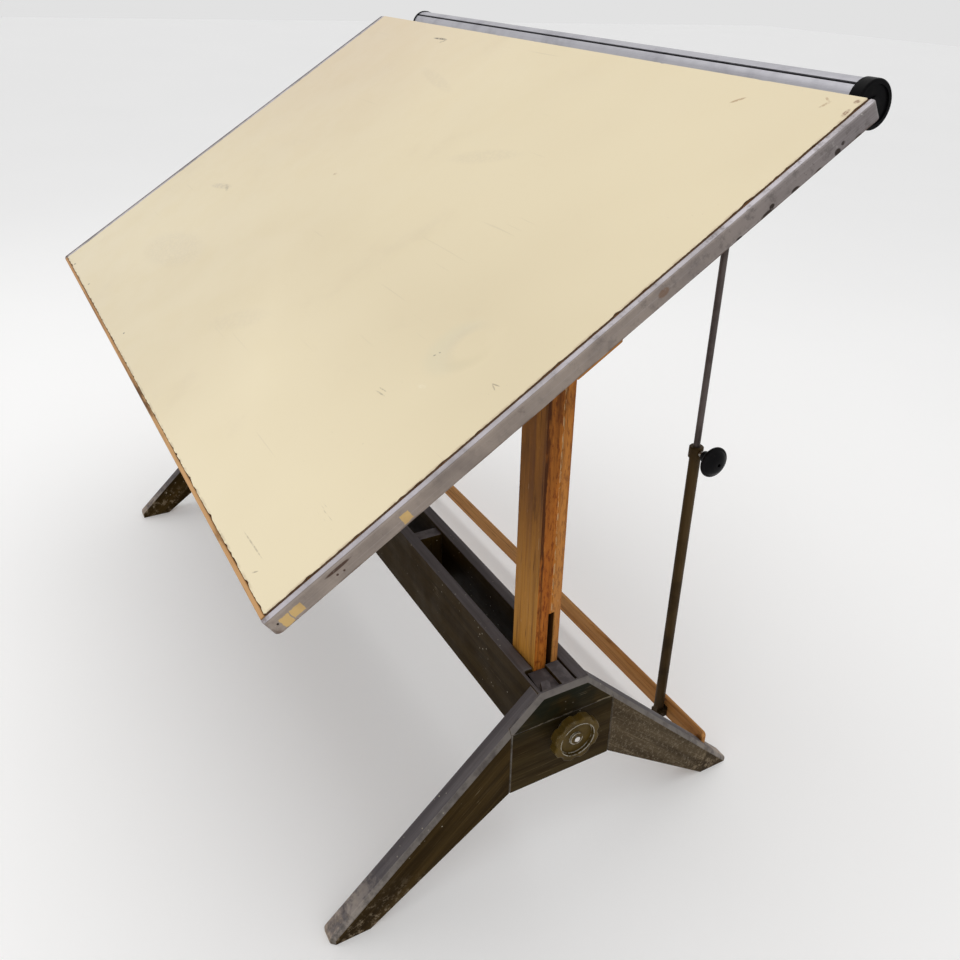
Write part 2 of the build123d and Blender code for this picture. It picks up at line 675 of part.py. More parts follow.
with BuildPart() as stay_top_bracket:
    slot_start = PIN_UP + PIN_TRAVEL[0] - PIN_DIA / 2 - SLOT_CLEARANCE
    slot_end = PIN_UP + PIN_TRAVEL[1] + PIN_DIA / 2 + SLOT_CLEARANCE
    slot_mid = (slot_start + slot_end) / 2
    slot_tall = PIN_DIA + 2 * PIN_RISE + 1.6 * SLOT_CLEARANCE
    cheek_span = slot_end - slot_start + 2 * CHEEK_MARGIN
    plate_under = UNDERSIDE - TOP_PLATE_THICK
    with BuildSketch(BOARD.offset(plate_under)):
        with Locations((STAY_X, slot_mid)):
            Rectangle(TOP_PLATE_WIDTH, cheek_span + 2 * TOP_PLATE_MARGIN)
    extrude(amount=TOP_PLATE_THICK)
    for offset_x in (-TOP_GAP / 2 - CHEEK_THICK, TOP_GAP / 2):
        with BuildSketch(board_plane(STAY_X + offset_x)):
            with Locations((slot_mid, plate_under - TOP_CHEEK_TALL / 2)):
                Rectangle(cheek_span, TOP_CHEEK_TALL)
            with Locations((slot_mid, PIN_OFF)):
                RectangleRounded(slot_end - slot_start, slot_tall, SLOT_ROUND, mode=Mode.SUBTRACT)
        extrude(amount=CHEEK_THICK)
save_pair(stay_top_bracket.part, "stay_top_bracket")

with BuildPart() as stay_screw:
    screw_start = STAY_X + ROD_DIA / 2 + FREE_FIT
    with BuildSketch(side_plane(screw_start)):
        with Locations((STAY_Y, KNOB_Z)):
            Circle(SCREW_RADIUS)
    extrude(amount=STAY_X + SCREW_END - screw_start)
    with BuildSketch(side_plane(STAY_X + SCREW_FLANGE_START)):
        with Locations((STAY_Y, KNOB_Z)):
            Circle(SCREW_FLANGE_RADIUS)
    extrude(amount=KNOB_INNER - SCREW_FLANGE_START)
save_pair(stay_screw.part, "stay_screw")

with BuildPart() as stay_knob:
    knob_plane = Plane(origin=(STAY_X, STAY_Y, KNOB_Z), x_dir=(1, 0, 0), z_dir=(0, 1, 0))
    rim_inner = KNOB_RADIUS - 4
    with BuildSketch(knob_plane):
        with BuildLine():
            hub = Polyline(
                (KNOB_OUTER, SCREW_RADIUS),
                (KNOB_INNER, SCREW_RADIUS),
                (KNOB_INNER, KNOB_NECK),
                (KNOB_SHOULDER - 4, KNOB_WAIST),
                (KNOB_SHOULDER, rim_inner),
            )
            rim_end = (KNOB_SHOULDER + 9, rim_inner)
            rounding = ThreePointArc(hub @ 1, (KNOB_SHOULDER + 4, KNOB_RADIUS), rim_end)
            ThreePointArc(rounding @ 1, (KNOB_OUTER - 2, KNOB_RADIUS / 2), (KNOB_OUTER, SCREW_RADIUS))
        make_face()
    revolve(axis=Axis((STAY_X, STAY_Y, KNOB_Z), (1, 0, 0)))
save_pair(stay_knob.part, "stay_knob")

# ---- drawing board ----
with BuildPart() as board_core:
    with BuildSketch(BOARD.offset(UNDERSIDE)):
        with Locations((0, (REAR_REACH - FRONT_REACH + EDGING_WIDTH) / 2)):
            Rectangle(2 * CORE_HALF, BOARD_DEPTH - EDGING_WIDTH)
    extrude(amount=BOARD_THICK - SURFACE_THICK)
save(board_core.part, "board_core")

with BuildPart() as drawing_surface:
    with BuildSketch(BOARD.offset(SURFACE - SURFACE_THICK)):
        with Locations((0, (REAR_REACH - FRONT_REACH + EDGING_WIDTH) / 2)):
            Rectangle(2 * CORE_HALF, BOARD_DEPTH - EDGING_WIDTH)
    extrude(amount=SURFACE_THICK)
save(drawing_surface.part, "drawing_surface")

with BuildPart() as front_edging:
    with BuildSketch(BOARD.offset(UNDERSIDE)):
        with Locations((0, EDGING_WIDTH / 2 - FRONT_REACH)):
            Rectangle(2 * CORE_HALF, EDGING_WIDTH)
    extrude(amount=BOARD_THICK)
    front_face = front_edging.faces().sort_by(Axis.Y)[0]
    fillet(front_face.edges().filter_by(Axis.X), EDGING_ROUND)
save(front_edging.part, "front_edging")

STRIP_PLANE = Plane(origin=on_board(0, -FRONT_REACH, 0), x_dir=(1, 0, 0), z_dir=BOARD.y_dir)
with BuildPart() as edge_strip:
    with BuildSketch(STRIP_PLANE):
        with BuildLine():
            Polyline(
                (CORE_HALF, -UNDERSIDE),
                (BOARD_WIDTH / 2, -UNDERSIDE),
                (BOARD_WIDTH / 2, STRIP_BEVEL - SURFACE),
                (BOARD_WIDTH / 2 - STRIP_BEVEL, -SURFACE),
                (BOARD_WIDTH / 2 - STRIP_BEAD, -SURFACE),
                (BOARD_WIDTH / 2 - STRIP_BEAD - 1, STRIP_STEP - SURFACE),
                (CORE_HALF + STRIP_LAP, STRIP_STEP - SURFACE),
                (CORE_HALF, STRIP_STEP + STRIP_BEVEL - SURFACE),
                close=True,
            )
        make_face()
    extrude(amount=BOARD_DEPTH)
    fillet(edge_strip.faces().sort_by(Axis.X)[-1].edges().sort_by(Axis.Y)[0], STRIP_CORNER)
    fillet(edge_strip.faces().sort_by(Axis.X)[-1].edges().sort_by(Axis.Y)[-1], STRIP_CORNER)
save_pair(edge_strip.part, "edge_strip")

with BuildPart() as board_batten:
    with BuildSketch(board_plane(BATTEN_INNER_X)):
        with BuildLine():
            Polyline(
                (BATTEN_FRONT, UNDERSIDE),
                (BATTEN_REAR, UNDERSIDE),
                (BATTEN_REAR, BATTEN_BOTTOM + BATTEN_HEEL_TALL),
                (BATTEN_REAR - BATTEN_HEEL, BATTEN_BOTTOM),
                (BATTEN_DEEP_START, BATTEN_BOTTOM),
                (BATTEN_DEEP_START - BATTEN_STEP, BATTEN_FRONT_BOTTOM),
                (BATTEN_FRONT + BATTEN_NOSE, BATTEN_FRONT_BOTTOM),
                (BATTEN_FRONT, BATTEN_NOSE_TOP),
                close=True,
            )
        make_face()
        Circle(TILT_BOLT_RADIUS + RUNNING_FIT, mode=Mode.SUBTRACT)
    extrude(amount=BATTEN_OUTER_X - BATTEN_INNER_X)
save_pair(board_batten.part, "board_batten")

with BuildPart() as batten_screws:
    with BuildSketch(board_plane(BATTEN_OUTER_X)):
        for station in SCREW_STATIONS:
            with Locations((station, SCREW_HEAD_OFF)):
                Circle(SCREW_HEAD_RADIUS)
    extrude(amount=SCREW_HEAD_THICK)
    mirror(batten_screws.part, about=Plane.YZ)
save(batten_screws.part, "batten_screws")

# ---- paper roll tube behind the high edge, set off towards the right-hand end ----
ROLL_UP = REAR_REACH + ROLL_GAP
ROLL_OFF = SURFACE - ROLL_DROP

with BuildPart() as roll_tube:
    with BuildSketch(board_plane(ROLL_START_X)):
        with Locations((ROLL_UP, ROLL_OFF)):
            Circle(ROLL_RADIUS)
            Circle(ROLL_RADIUS - ROLL_WALL, mode=Mode.SUBTRACT)
            with PolarLocations(ROLL_RADIUS, 1, start_angle=ROLL_SLOT_ANGLE):
                Rectangle(4 * ROLL_WALL, ROLL_SLOT_WIDTH, mode=Mode.SUBTRACT)
    extrude(amount=ROLL_END_X - ROLL_START_X)
save(roll_tube.part, "roll_tube")


def tube_cap(tube_end, outward, overlap, beyond):
    """A black cap pushed over one end of the roll tube, with a dished face."""
    mouth = tube_end - outward * overlap
    face = tube_end + outward * beyond
    with BuildPart() as cap:
        with BuildSketch(board_plane(mouth)):
            with Locations((ROLL_UP, ROLL_OFF)):
                Circle(ROLL_RADIUS + CAP_WALL)
        extrude(amount=face - mouth)
        fillet(cap.edges().filter_by(GeomType.CIRCLE).sort_by(Axis.X)[-1 if outward > 0 else 0], CAP_ROUND)
        with BuildSketch(board_plane(mouth)):
            with Locations((ROLL_UP, ROLL_OFF)):
                Circle(ROLL_RADIUS)
        extrude(amount=tube_end - mouth, mode=Mode.SUBTRACT)
        with BuildSketch(board_plane(face)):
            with Locations((ROLL_UP, ROLL_OFF)):
                Circle(CAP_DISH_RADIUS)
                Circle(CAP_BOSS_RADIUS, mode=Mode.SUBTRACT)
        extrude(amount=-outward * CAP_DISH_DEPTH, mode=Mode.SUBTRACT)
    return cap


save(tube_cap(ROLL_END_X, 1, NEAR_CAP_OVERLAP, NEAR_CAP_BEYOND).part, "roll_tube_cap_right")
save(tube_cap(ROLL_START_X, -1, FAR_CAP_OVERLAP, FAR_CAP_BEYOND).part, "roll_tube_cap_left")

with BuildPart() as roll_tube_hangers:
    for station in HANGER_STATIONS:
        with BuildSketch(board_plane(station - HANGER_WIDTH / 2)):
            with Locations(((HANGER_START + ROLL_UP) / 2, UNDERSIDE - HANGER_THICK / 2)):
                Rectangle(ROLL_UP - HANGER_START, HANGER_THICK)
            with Locations((ROLL_UP, ROLL_OFF)):
                Circle(ROLL_RADIUS, mode=Mode.SUBTRACT)
        extrude(amount=HANGER_WIDTH)
save(roll_tube_hangers.part, "roll_tube_hangers")
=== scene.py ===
import json
import math
import random

import bmesh
import bpy
from mathutils import Matrix, Quaternion, Vector


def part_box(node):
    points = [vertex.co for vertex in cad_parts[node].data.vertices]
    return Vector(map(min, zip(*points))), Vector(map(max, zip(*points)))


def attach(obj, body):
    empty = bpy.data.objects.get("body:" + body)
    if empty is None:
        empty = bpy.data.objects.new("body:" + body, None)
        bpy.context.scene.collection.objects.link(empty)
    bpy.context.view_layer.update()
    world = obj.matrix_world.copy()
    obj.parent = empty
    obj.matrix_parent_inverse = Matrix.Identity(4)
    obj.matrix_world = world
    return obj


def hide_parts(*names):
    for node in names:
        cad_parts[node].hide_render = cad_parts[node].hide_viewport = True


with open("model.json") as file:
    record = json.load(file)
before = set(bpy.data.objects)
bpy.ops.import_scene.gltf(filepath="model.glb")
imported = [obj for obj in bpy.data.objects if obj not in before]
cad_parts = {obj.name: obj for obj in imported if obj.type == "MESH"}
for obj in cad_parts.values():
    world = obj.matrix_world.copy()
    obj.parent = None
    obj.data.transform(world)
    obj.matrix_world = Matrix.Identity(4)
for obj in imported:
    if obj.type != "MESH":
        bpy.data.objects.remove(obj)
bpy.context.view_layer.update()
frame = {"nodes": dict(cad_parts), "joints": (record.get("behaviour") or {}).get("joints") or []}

# ---- places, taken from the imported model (metres) ----
JOINTS = {joint["name"]: joint for joint in frame["joints"]}
PIVOT = Vector(JOINTS["board_tilt"]["pos_m"])
TILT = -math.radians(JOINTS["board_tilt"]["range_deg"][0])
BOARD_AXES = Matrix.Rotation(TILT, 3, "X")

SURFACE_LOW, SURFACE_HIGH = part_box("drawing_surface")
HALF_WIDTH = SURFACE_HIGH.x
POST_OUTER_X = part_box("post_front_right")[1].x
SEAM_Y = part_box("post_front_right")[1].y
PANEL_SEAM_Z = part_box("end_panel_lower_right")[1].z
LEG_SLOPE = math.radians(43)


def to_board(point):
    """A point of the table's frame, in the board's own: across, up the slope, square to it."""
    return BOARD_AXES.transposed() @ (Vector(point) - PIVOT)


def from_board(across, up, off):
    """A place given in the board's own frame, as a point of the table's frame."""
    return PIVOT + BOARD_AXES @ Vector((across, up, off))


def board_extent(node):
    """Lowest and highest corner of a CAD node, measured in the board's own frame."""
    corners = [to_board(vertex.co) for vertex in frame["nodes"][node].data.vertices]
    low = Vector([min(corner[axis] for corner in corners) for axis in range(3)])
    high = Vector([max(corner[axis] for corner in corners) for axis in range(3)])
    return low, high


# ---- material building ----
class Shader:
    """A procedural material being built. Each method adds a node and returns its output."""

    def __init__(self, name, metallic=0.0, roughness=0.5, specular=0.5, board=False):
        self.material = bpy.data.materials.new(name)
        self.material.use_nodes = True
        self.tree = self.material.node_tree
        self.shader = self.tree.nodes["Principled BSDF"]
        self.shader.inputs["Metallic"].default_value = metallic
        self.shader.inputs["Roughness"].default_value = roughness
        self.shader.inputs["Specular IOR Level"].default_value = specular
        self.place = self.add("TexCoord").outputs["Object"]
        if board:
            turned = Matrix.Rotation(-TILT, 3, "X")
            self.place = self.mapped(turn=(-TILT, 0, 0), move=-(turned @ PIVOT))

    def add(self, kind):
        return self.tree.nodes.new("ShaderNode" + kind)

    def feed(self, socket, value):
        """Link a socket to an output, or set it to a plain value."""
        if isinstance(value, bpy.types.NodeSocket):
            self.tree.links.new(value, socket)
        elif isinstance(value, (tuple, list)) and len(value) == 3 and len(socket.default_value) == 4:
            socket.default_value = (*value, 1.0)
        else:
            socket.default_value = value

    def mapped(self, where=None, turn=(0, 0, 0), move=(0, 0, 0), scale=(1, 1, 1)):
        node = self.add("Mapping")
        self.feed(node.inputs["Vector"], where or self.place)
        node.inputs["Location"].default_value = move
        node.inputs["Rotation"].default_value = turn
        node.inputs["Scale"].default_value = scale
        return node.outputs["Vector"]

    def noise(self, scale, where=None, detail=4.0, rough=0.55, bend=0.0):
        node = self.add("TexNoise")
        self.feed(node.inputs["Vector"], where or self.place)
        node.inputs["Scale"].default_value = scale
        node.inputs["Detail"].default_value = detail
        node.inputs["Roughness"].default_value = rough
        node.inputs["Distortion"].default_value = bend
        return node.outputs["Fac"]

    def stretched(self, scale, where=None, **looks):
        """Noise drawn out along one axis, by a scale of its own for each axis."""
        return self.noise(1.0, self.mapped(where, scale=scale), **looks)

    def cells(self, scale):
        node = self.add("TexVoronoi")
        self.feed(node.inputs["Vector"], self.place)
        node.inputs["Scale"].default_value = scale
        return node.outputs["Distance"]

    def fade(self, value, start, end, low=0.0, high=1.0):
        """low where value is at start, high where it is at end, smooth between."""
        node = self.add("MapRange")
        node.interpolation_type = "SMOOTHSTEP"
        self.feed(node.inputs["Value"], value)
        node.inputs["From Min"].default_value = min(start, end)
        node.inputs["From Max"].default_value = max(start, end)
        node.inputs["To Min"].default_value = low if start < end else high
        node.inputs["To Max"].default_value = high if start < end else low
        return node.outputs["Result"]

    def math(self, operation, first, second=0.0):
        node = self.add("Math")
        node.operation = operation
        self.feed(node.inputs[0], first)
        self.feed(node.inputs[1], second)
        return node.outputs[0]

    def mix(self, factor, first, second, blend="MIX"):
        node = self.add("Mix")
        node.data_type = "RGBA"
        node.blend_type = blend
        self.feed(node.inputs[0], factor)
        self.feed(node.inputs[6], first)
        self.feed(node.inputs[7], second)
        return node.outputs[2]

    def part(self, letter, where=None):
        node = self.add("SeparateXYZ")
        self.feed(node.inputs[0], where or self.place)
        return node.outputs[letter]

    def facing(self, direction, start=0.5, end=0.9):
        """1 where the surface faces that way in its own space, 0 where it doesn't."""
        node = self.add("VectorMath")
        node.operation = "DOT_PRODUCT"
        normal = self.add("TexCoord").outputs["Normal"]
        self.feed(node.inputs[0], normal)
        node.inputs[1].default_value = Vector(direction).normalized()
        return self.fade(node.outputs["Value"], start, end)

    def spot(self, centre, size, turn=0.0, soft=0.5):
        """1 inside an ellipse on the surface, fading out to 0 over its outer part."""
        node = self.add("Mapping")
        node.vector_type = "TEXTURE"
        self.feed(node.inputs["Vector"], self.place)
        node.inputs["Location"].default_value = centre
        node.inputs["Rotation"].default_value = (0, 0, turn)
        node.inputs["Scale"].default_value = (*size, 1.0)
        length = self.add("VectorMath")
        length.operation = "LENGTH"
        self.feed(length.inputs[0], node.outputs["Vector"])
        return self.fade(length.outputs["Value"], 1.0, 1.0 - soft)

    def both(self, *values):
        """The product of several masks."""
        product = values[0]
        for value in values[1:]:
            product = self.math("MULTIPLY", product, value)
        return product

    def paint(self, under, mask, tone, strength=1.0):
        """Lay a tone over a colour where the mask is, at most that strongly."""
        return self.mix(self.math("MULTIPLY", mask, strength), under, tone)

    def band(self, value, low, high, soft):
        """1 between low and high, fading to 0 over soft on each side."""
        return self.both(self.fade(value, low - soft, low), self.fade(value, high + soft, high))

    def side_ways(self):
        """How far the surface faces along X either way, from 0 to 1."""
        return self.math("ABSOLUTE", self.part("X", self.add("TexCoord").outputs["Normal"]))

    def edges(self, radius, start=0.02, end=0.15):
        """1 on convex and concave edges, from how far a rounded normal leaves the true one."""
        rounded = self.add("Bevel")
        rounded.samples = 6
        rounded.inputs["Radius"].default_value = radius
        true_normal = self.add("NewGeometry").outputs["Normal"]
        node = self.add("VectorMath")
        node.operation = "DOT_PRODUCT"
        self.feed(node.inputs[0], rounded.outputs["Normal"])
        self.feed(node.inputs[1], true_normal)
        away = self.math("SUBTRACT", 1.0, node.outputs["Value"])
        return self.fade(away, start, end)

    def bump(self, height, distance, strength=1.0):
        node = self.add("Bump")
        node.inputs["Strength"].default_value = strength
        node.inputs["Distance"].default_value = distance
        self.feed(node.inputs["Height"], height)
        last = self.shader.inputs["Normal"].links
        if last:
            self.feed(node.inputs["Normal"], last[0].from_socket)
        self.feed(self.shader.inputs["Normal"], node.outputs["Normal"])

    def finish(self, colour, roughness=None):
        self.feed(self.shader.inputs["Base Color"], colour)
        if roughness is not None:
            self.feed(self.shader.inputs["Roughness"], roughness)
        return self.material


# ---- materials ----
ALONG_X = (0, 0, 0)
ALONG_Y = (0, 0, math.radians(90))
ALONG_Z = (0, math.radians(90), 0)
SURFACE_OFF = board_extent("drawing_surface")[1].z
BOARD_UP = BOARD_AXES @ Vector((0, 0, 1))
INK = (0.045, 0.035, 0.028)
FAINT_INK = (0.20, 0.16, 0.12)
TAN = (0.42, 0.26, 0.13)
RED_BROWN = (0.22, 0.085, 0.035)
SMOKE = (0.42, 0.36, 0.30)
TAPE = (0.60, 0.40, 0.15)
RUST = (0.048, 0.018, 0.008)
PIT = (0.018, 0.009, 0.005)
WOOD_SPECULAR = 0.06

# Each mark on the surface: place (across, up the slope), half size, turn, strength, tone.
SURFACE_MARKS = [
    ((0.564, -0.143), (0.0028, 0.0018), 1.0, 0.9, INK),
    ((0.567, -0.136), (0.0022, 0.0014), 0.3, 0.8, INK),
    ((0.600, -0.185), (0.0100, 0.0040), 0.4, 0.35, (0.93, 0.85, 0.66)),
    ((-0.483, -0.136), (0.055, 0.010), 0.25, 0.30, SMOKE),
    ((-0.452, -0.132), (0.022, 0.005), -0.3, 0.35, FAINT_INK),
    ((-0.372, 0.411), (0.034, 0.0035), 0.05, 0.85, INK),
    ((-0.350, 0.405), (0.012, 0.003), 0.6, 0.6, INK),
    ((0.550, -0.227), (0.015, 0.0014), 0.1, 0.55, FAINT_INK),
    ((0.548, -0.221), (0.012, 0.0012), 0.1, 0.45, FAINT_INK),
    ((0.699, -0.126), (0.010, 0.0012), 0.2, 0.55, FAINT_INK),
    ((0.700, -0.130), (0.009, 0.0012), -0.3, 0.45, FAINT_INK),
    ((0.559, 0.404), (0.014, 0.0035), 0.75, 0.75, TAN),
    ((0.697, 0.426), (0.010, 0.0035), 1.1, 0.60, TAN),
    ((0.692, 0.436), (0.009, 0.0022), -0.5, 0.60, TAN),
    ((0.738, 0.418), (0.0045, 0.010), 0.1, 0.75, RED_BROWN),
    ((0.736, 0.441), (0.006, 0.005), 0.4, 0.70, RED_BROWN),
    ((-0.671, -0.484), (0.006, 0.0035), 0.2, 0.80, INK),
    ((-0.503, -0.479), (0.005, 0.003), 0.2, 0.70, INK),
    ((-0.162, -0.468), (0.003, 0.0025), 0.0, 0.85, INK),
    ((-0.138, 0.016), (0.007, 0.004), 0.5, 0.55, TAN),
    ((0.628, -0.463), (0.040, 0.0013), 0.03, 0.45, FAINT_INK),
    ((0.673, -0.477), (0.006, 0.0015), 0.9, 0.55, FAINT_INK),
    ((0.20, 0.17), (0.10, 0.022), 0.35, 0.10, SMOKE),
    ((-0.20, 0.30), (0.12, 0.016), -0.2, 0.10, SMOKE),
    ((0.10, -0.30), (0.09, 0.030), 0.6, 0.08, SMOKE),
    ((-0.36, -0.30), (0.16, 0.060), 0.2, 0.12, SMOKE),
]
HATCH = ((0.676, -0.372), (0.022, 0.012))
BLISTER = ((0.583, -0.118), (0.056, 0.060))
BLISTER_CROWN = ((0.600, -0.103), (0.046, 0.052))
# Each tape patch on the right-hand strip: from and to up the slope, lowest point square to it.
TAPE_PATCHES = [(-0.482, -0.470, 0.0345), (-0.468, -0.453, 0.037), (-0.312, -0.300, 0.036)]
TAPE_TOP = 0.0490
# Each stain on the right-hand strip: up the slope, square to it, half size, strength, tone.
STRIP_STAINS = [
    (-0.4855, 0.046, (0.0017, 0.0019), 1.0, PIT),
    (-0.398, 0.0507, (0.021, 0.0026), 0.9, RUST),
    (-0.4035, 0.0440, (0.0019, 0.0019), 0.9, RUST),
    (-0.3950, 0.0425, (0.0017, 0.0017), 0.9, RUST),
    (0.088, 0.046, (0.010, 0.0060), 0.7, (0.16, 0.085, 0.045)),
    (0.205, 0.0335, (0.007, 0.0026), 1.0, PIT),
    (0.253, 0.0340, (0.013, 0.0040), 1.0, PIT),
    (0.262, 0.0385, (0.005, 0.0035), 1.0, PIT),
    (0.300, 0.0340, (0.008, 0.0040), 1.0, PIT),
    (0.340, 0.0330, (0.007, 0.0030), 1.0, PIT),
    (0.373, 0.0360, (0.006, 0.0050), 1.0, PIT),
    (0.384, 0.0410, (0.004, 0.0030), 0.9, PIT),
    (0.408, 0.0330, (0.008, 0.0030), 0.9, PIT),
]


def laminate():
    """Ivory laminate: satin, faintly mottled and marked, with a brown cut edge; painted shade darkens it
    towards the rear and left and rings a raised bubble.
    """
    s = Shader("ivory_laminate", specular=0.35, board=True)
    across = s.part("X")
    up = s.part("Y")
    clouds = s.noise(1.5, detail=3.0)
    stains = s.noise(6.0, detail=5.0, rough=0.6)
    colour = s.mix(s.fade(clouds, 0.35, 0.7), (0.845, 0.742, 0.515), (0.800, 0.695, 0.478))
    pinker = s.both(s.fade(across, 0.15, -0.8), s.fade(up, -0.3, 0.4))
    colour = s.paint(colour, pinker, (0.72, 0.585, 0.435), 0.5)
    colour = s.paint(colour, s.fade(stains, 0.60, 0.80), (0.66, 0.555, 0.40), 0.22)
    speckle = s.fade(s.noise(260.0, detail=2.0), 0.72, 0.80)
    colour = s.paint(colour, speckle, (0.42, 0.34, 0.24), 0.2)
    slanted = s.mapped(turn=(0, 0, math.radians(34)), scale=(3.0, 150.0, 1.0))
    strokes = s.both(s.fade(s.noise(1.0, slanted, detail=2.0), 0.68, 0.73),
                     s.fade(s.noise(3.3, detail=1.0), 0.5, 0.62))
    colour = s.paint(colour, strokes, (0.42, 0.35, 0.27), 0.16)
    crumbly = s.fade(s.noise(230.0, detail=3.0), 0.40, 0.56, 0.3, 1.0)
    for place, size, turn, strength, tone in SURFACE_MARKS:
        mark = s.both(s.spot((*place, SURFACE_OFF), size, turn), crumbly)
        colour = s.paint(colour, mark, tone, strength)
    lines = s.mapped(turn=(0, 0, math.radians(-75)), scale=(30.0, 500.0, 1.0))
    hatch = s.both(s.spot((*HATCH[0], SURFACE_OFF), HATCH[1]),
                   s.fade(s.noise(1.0, lines, detail=1.0), 0.60, 0.66))
    colour = s.paint(colour, hatch, FAINT_INK, 0.28)
    # Painted shade: the surface is darkened towards the rear and the left, as if farther from the light.
    away = s.math("MAXIMUM", s.fade(up, -0.42, -0.05), s.fade(across, 0.45, -0.20))
    colour = s.mix(away, colour, (0.875, 0.862, 0.842), "MULTIPLY")
    # Painted shade: a darker ring round the blister, outside its raised crown.
    shaded_blister = s.spot((*BLISTER[0], SURFACE_OFF), BLISTER[1], soft=0.45)
    crown = s.spot((*BLISTER_CROWN[0], SURFACE_OFF), BLISTER_CROWN[1], soft=0.6)
    colour = s.paint(colour, s.both(shaded_blister, s.math("SUBTRACT", 1.0, crown)), (0.66, 0.60, 0.43), 0.42)
    near_side = s.fade(s.math("ABSOLUTE", across), HALF_WIDTH - 0.006, HALF_WIDTH - 0.002)
    near_front = s.fade(up, to_board(SURFACE_LOW).y + 0.006, to_board(SURFACE_LOW).y + 0.002)
    grubby = s.both(s.math("MAXIMUM", near_side, near_front),
                    s.fade(s.noise(60.0, detail=5.0), 0.42, 0.62))
    colour = s.paint(colour, grubby, (0.24, 0.13, 0.06), 0.35)
    colour = s.paint(colour, s.facing(BOARD_UP, 0.9, 0.5), (0.10, 0.045, 0.02), 0.9)
    rough = s.fade(s.noise(11.0, detail=6.0, rough=0.65), 0.3, 0.75, 0.30, 0.46)
    s.bump(s.noise(2.2, detail=1.0), 0.006, 0.3)
    s.bump(s.noise(420.0, detail=2.0), 0.00012, 0.3)
    s.bump(crown, 0.004, 1.0)
    return s.finish(colour, rough)


def painted_wood(name, along, dark=(0.020, 0.0105, 0.0016), pale=(0.045, 0.026, 0.006),
                 fibre=(0.080, 0.054, 0.022), fibrous=0.35, seam=None, dark_toe=None):
    """Dark olive-brown paint: purple-grey dust and painted sheen on top, painted highlights on the
    chamfers, rubbed edges, specks and worn toes.
    """
    s = Shader(name, specular=0.035)
    straight = s.mapped(turn=along)
    grain = s.stretched((2.2, 60.0, 60.0), straight, detail=5.0, rough=0.6)
    fibres = s.stretched((16.0, 420.0, 420.0), straight, detail=3.0, rough=0.6)
    patches = s.noise(9.0, detail=5.0, rough=0.65)
    crumbs = s.noise(38.0, detail=6.0, rough=0.7)
    colour = s.mix(s.fade(grain, 0.36, 0.68), dark, pale)
    colour = s.paint(colour, s.fade(fibres, 0.54, 0.72), fibre, fibrous)
    if seam:
        wavering = s.fade(s.noise(30.0, detail=2.0), 0.2, 0.8, -0.0012, 0.0012)
        height = s.math("ADD", s.part("Z"), wavering)
        line = s.both(s.band(height, seam, seam + 0.0022, 0.0008),
                      s.fade(s.noise(26.0, detail=4.0), 0.46, 0.54))
        colour = s.paint(colour, line, (0.26, 0.21, 0.13), 0.75)
        green = s.both(s.fade(s.part("Z"), 0.255, 0.31), s.fade(s.noise(12.0, detail=3.0), 0.4, 0.6))
        colour = s.paint(colour, green, (0.005, 0.009, 0.006), 0.75)
    if dark_toe:
        felted = s.fade(s.noise(230.0, detail=5.0, rough=0.8), 0.50, 0.66)
        colour = s.paint(colour, felted, (0.24, 0.195, 0.140), 0.55)
        wavering = s.fade(s.noise(25.0, detail=3.0), 0.2, 0.8, -0.012, 0.012)
        boundary = s.math("ADD", s.part("Y"), wavering)
        toe_patch = s.both(s.fade(boundary, dark_toe, dark_toe + 0.004),
                           s.fade(s.side_ways(), 0.6, 0.85))
        colour = s.paint(colour, toe_patch, (0.030, 0.019, 0.010), 0.72)
    # Upward faces are lightened purple-grey: part dust, part painted sheen from the sky above.
    upward = s.facing((0, 0, 1), 0.30, 0.62)
    top_dust_and_sheen = s.mix(s.fade(grain, 0.35, 0.7), (0.080, 0.071, 0.074), (0.140, 0.127, 0.130))
    colour = s.paint(colour, s.both(upward, s.fade(patches, 0.2, 0.6, 0.75, 1.0)), top_dust_and_sheen)
    # Painted highlight: faces slanting sideways, the chamfers, are lightened to a warm grey, broken up
    # unevenly.
    slanting = s.band(s.side_ways(), 0.48, 0.85, 0.08)
    lit_chamfers = s.both(slanting, s.fade(crumbs, 0.30, 0.62, 0.25, 1.0))
    colour = s.paint(colour, lit_chamfers, (0.190, 0.172, 0.155), 0.8)
    foot = s.both(s.fade(s.part("Z"), 0.10, 0.0),
                  s.fade(s.noise(75.0, detail=6.0, rough=0.75), 0.50, 0.64))
    colour = s.paint(colour, foot, (0.27, 0.21, 0.14), 0.75)
    dusty = s.both(s.fade(s.part("Z"), 0.13, 0.02), upward, s.fade(crumbs, 0.42, 0.60))
    colour = s.paint(colour, dusty, (0.36, 0.31, 0.27), 0.75)
    toe = s.both(s.fade(s.part("Z"), 0.05, 0.01), s.fade(s.side_ways(), 0.6, 0.3),
                 s.fade(crumbs, 0.3, 0.55))
    colour = s.paint(colour, toe, (0.36, 0.29, 0.235), 0.9)
    wear = s.both(s.edges(0.003), s.fade(s.noise(30.0, detail=6.0, rough=0.7), 0.44, 0.62))
    colour = s.paint(colour, wear, (0.22, 0.185, 0.14), 0.5)
    specks = s.both(s.fade(s.cells(85.0), 0.14, 0.06),
                    s.fade(s.noise(11.0, detail=3.0), 0.50, 0.64))
    colour = s.paint(colour, specks, (0.42, 0.38, 0.30), 0.75)
    scuffs = s.both(s.fade(fibres, 0.60, 0.70),
                    s.fade(s.noise(16.0, detail=5.0, rough=0.7), 0.58, 0.70))
    colour = s.paint(colour, scuffs, (0.22, 0.18, 0.12), 0.6)
    rough = s.fade(patches, 0.3, 0.7, 0.42, 0.65)
    s.bump(grain, 0.0006, 0.5)
    s.bump(fibres, 0.00035, 0.5)
    return s.finish(colour, rough)


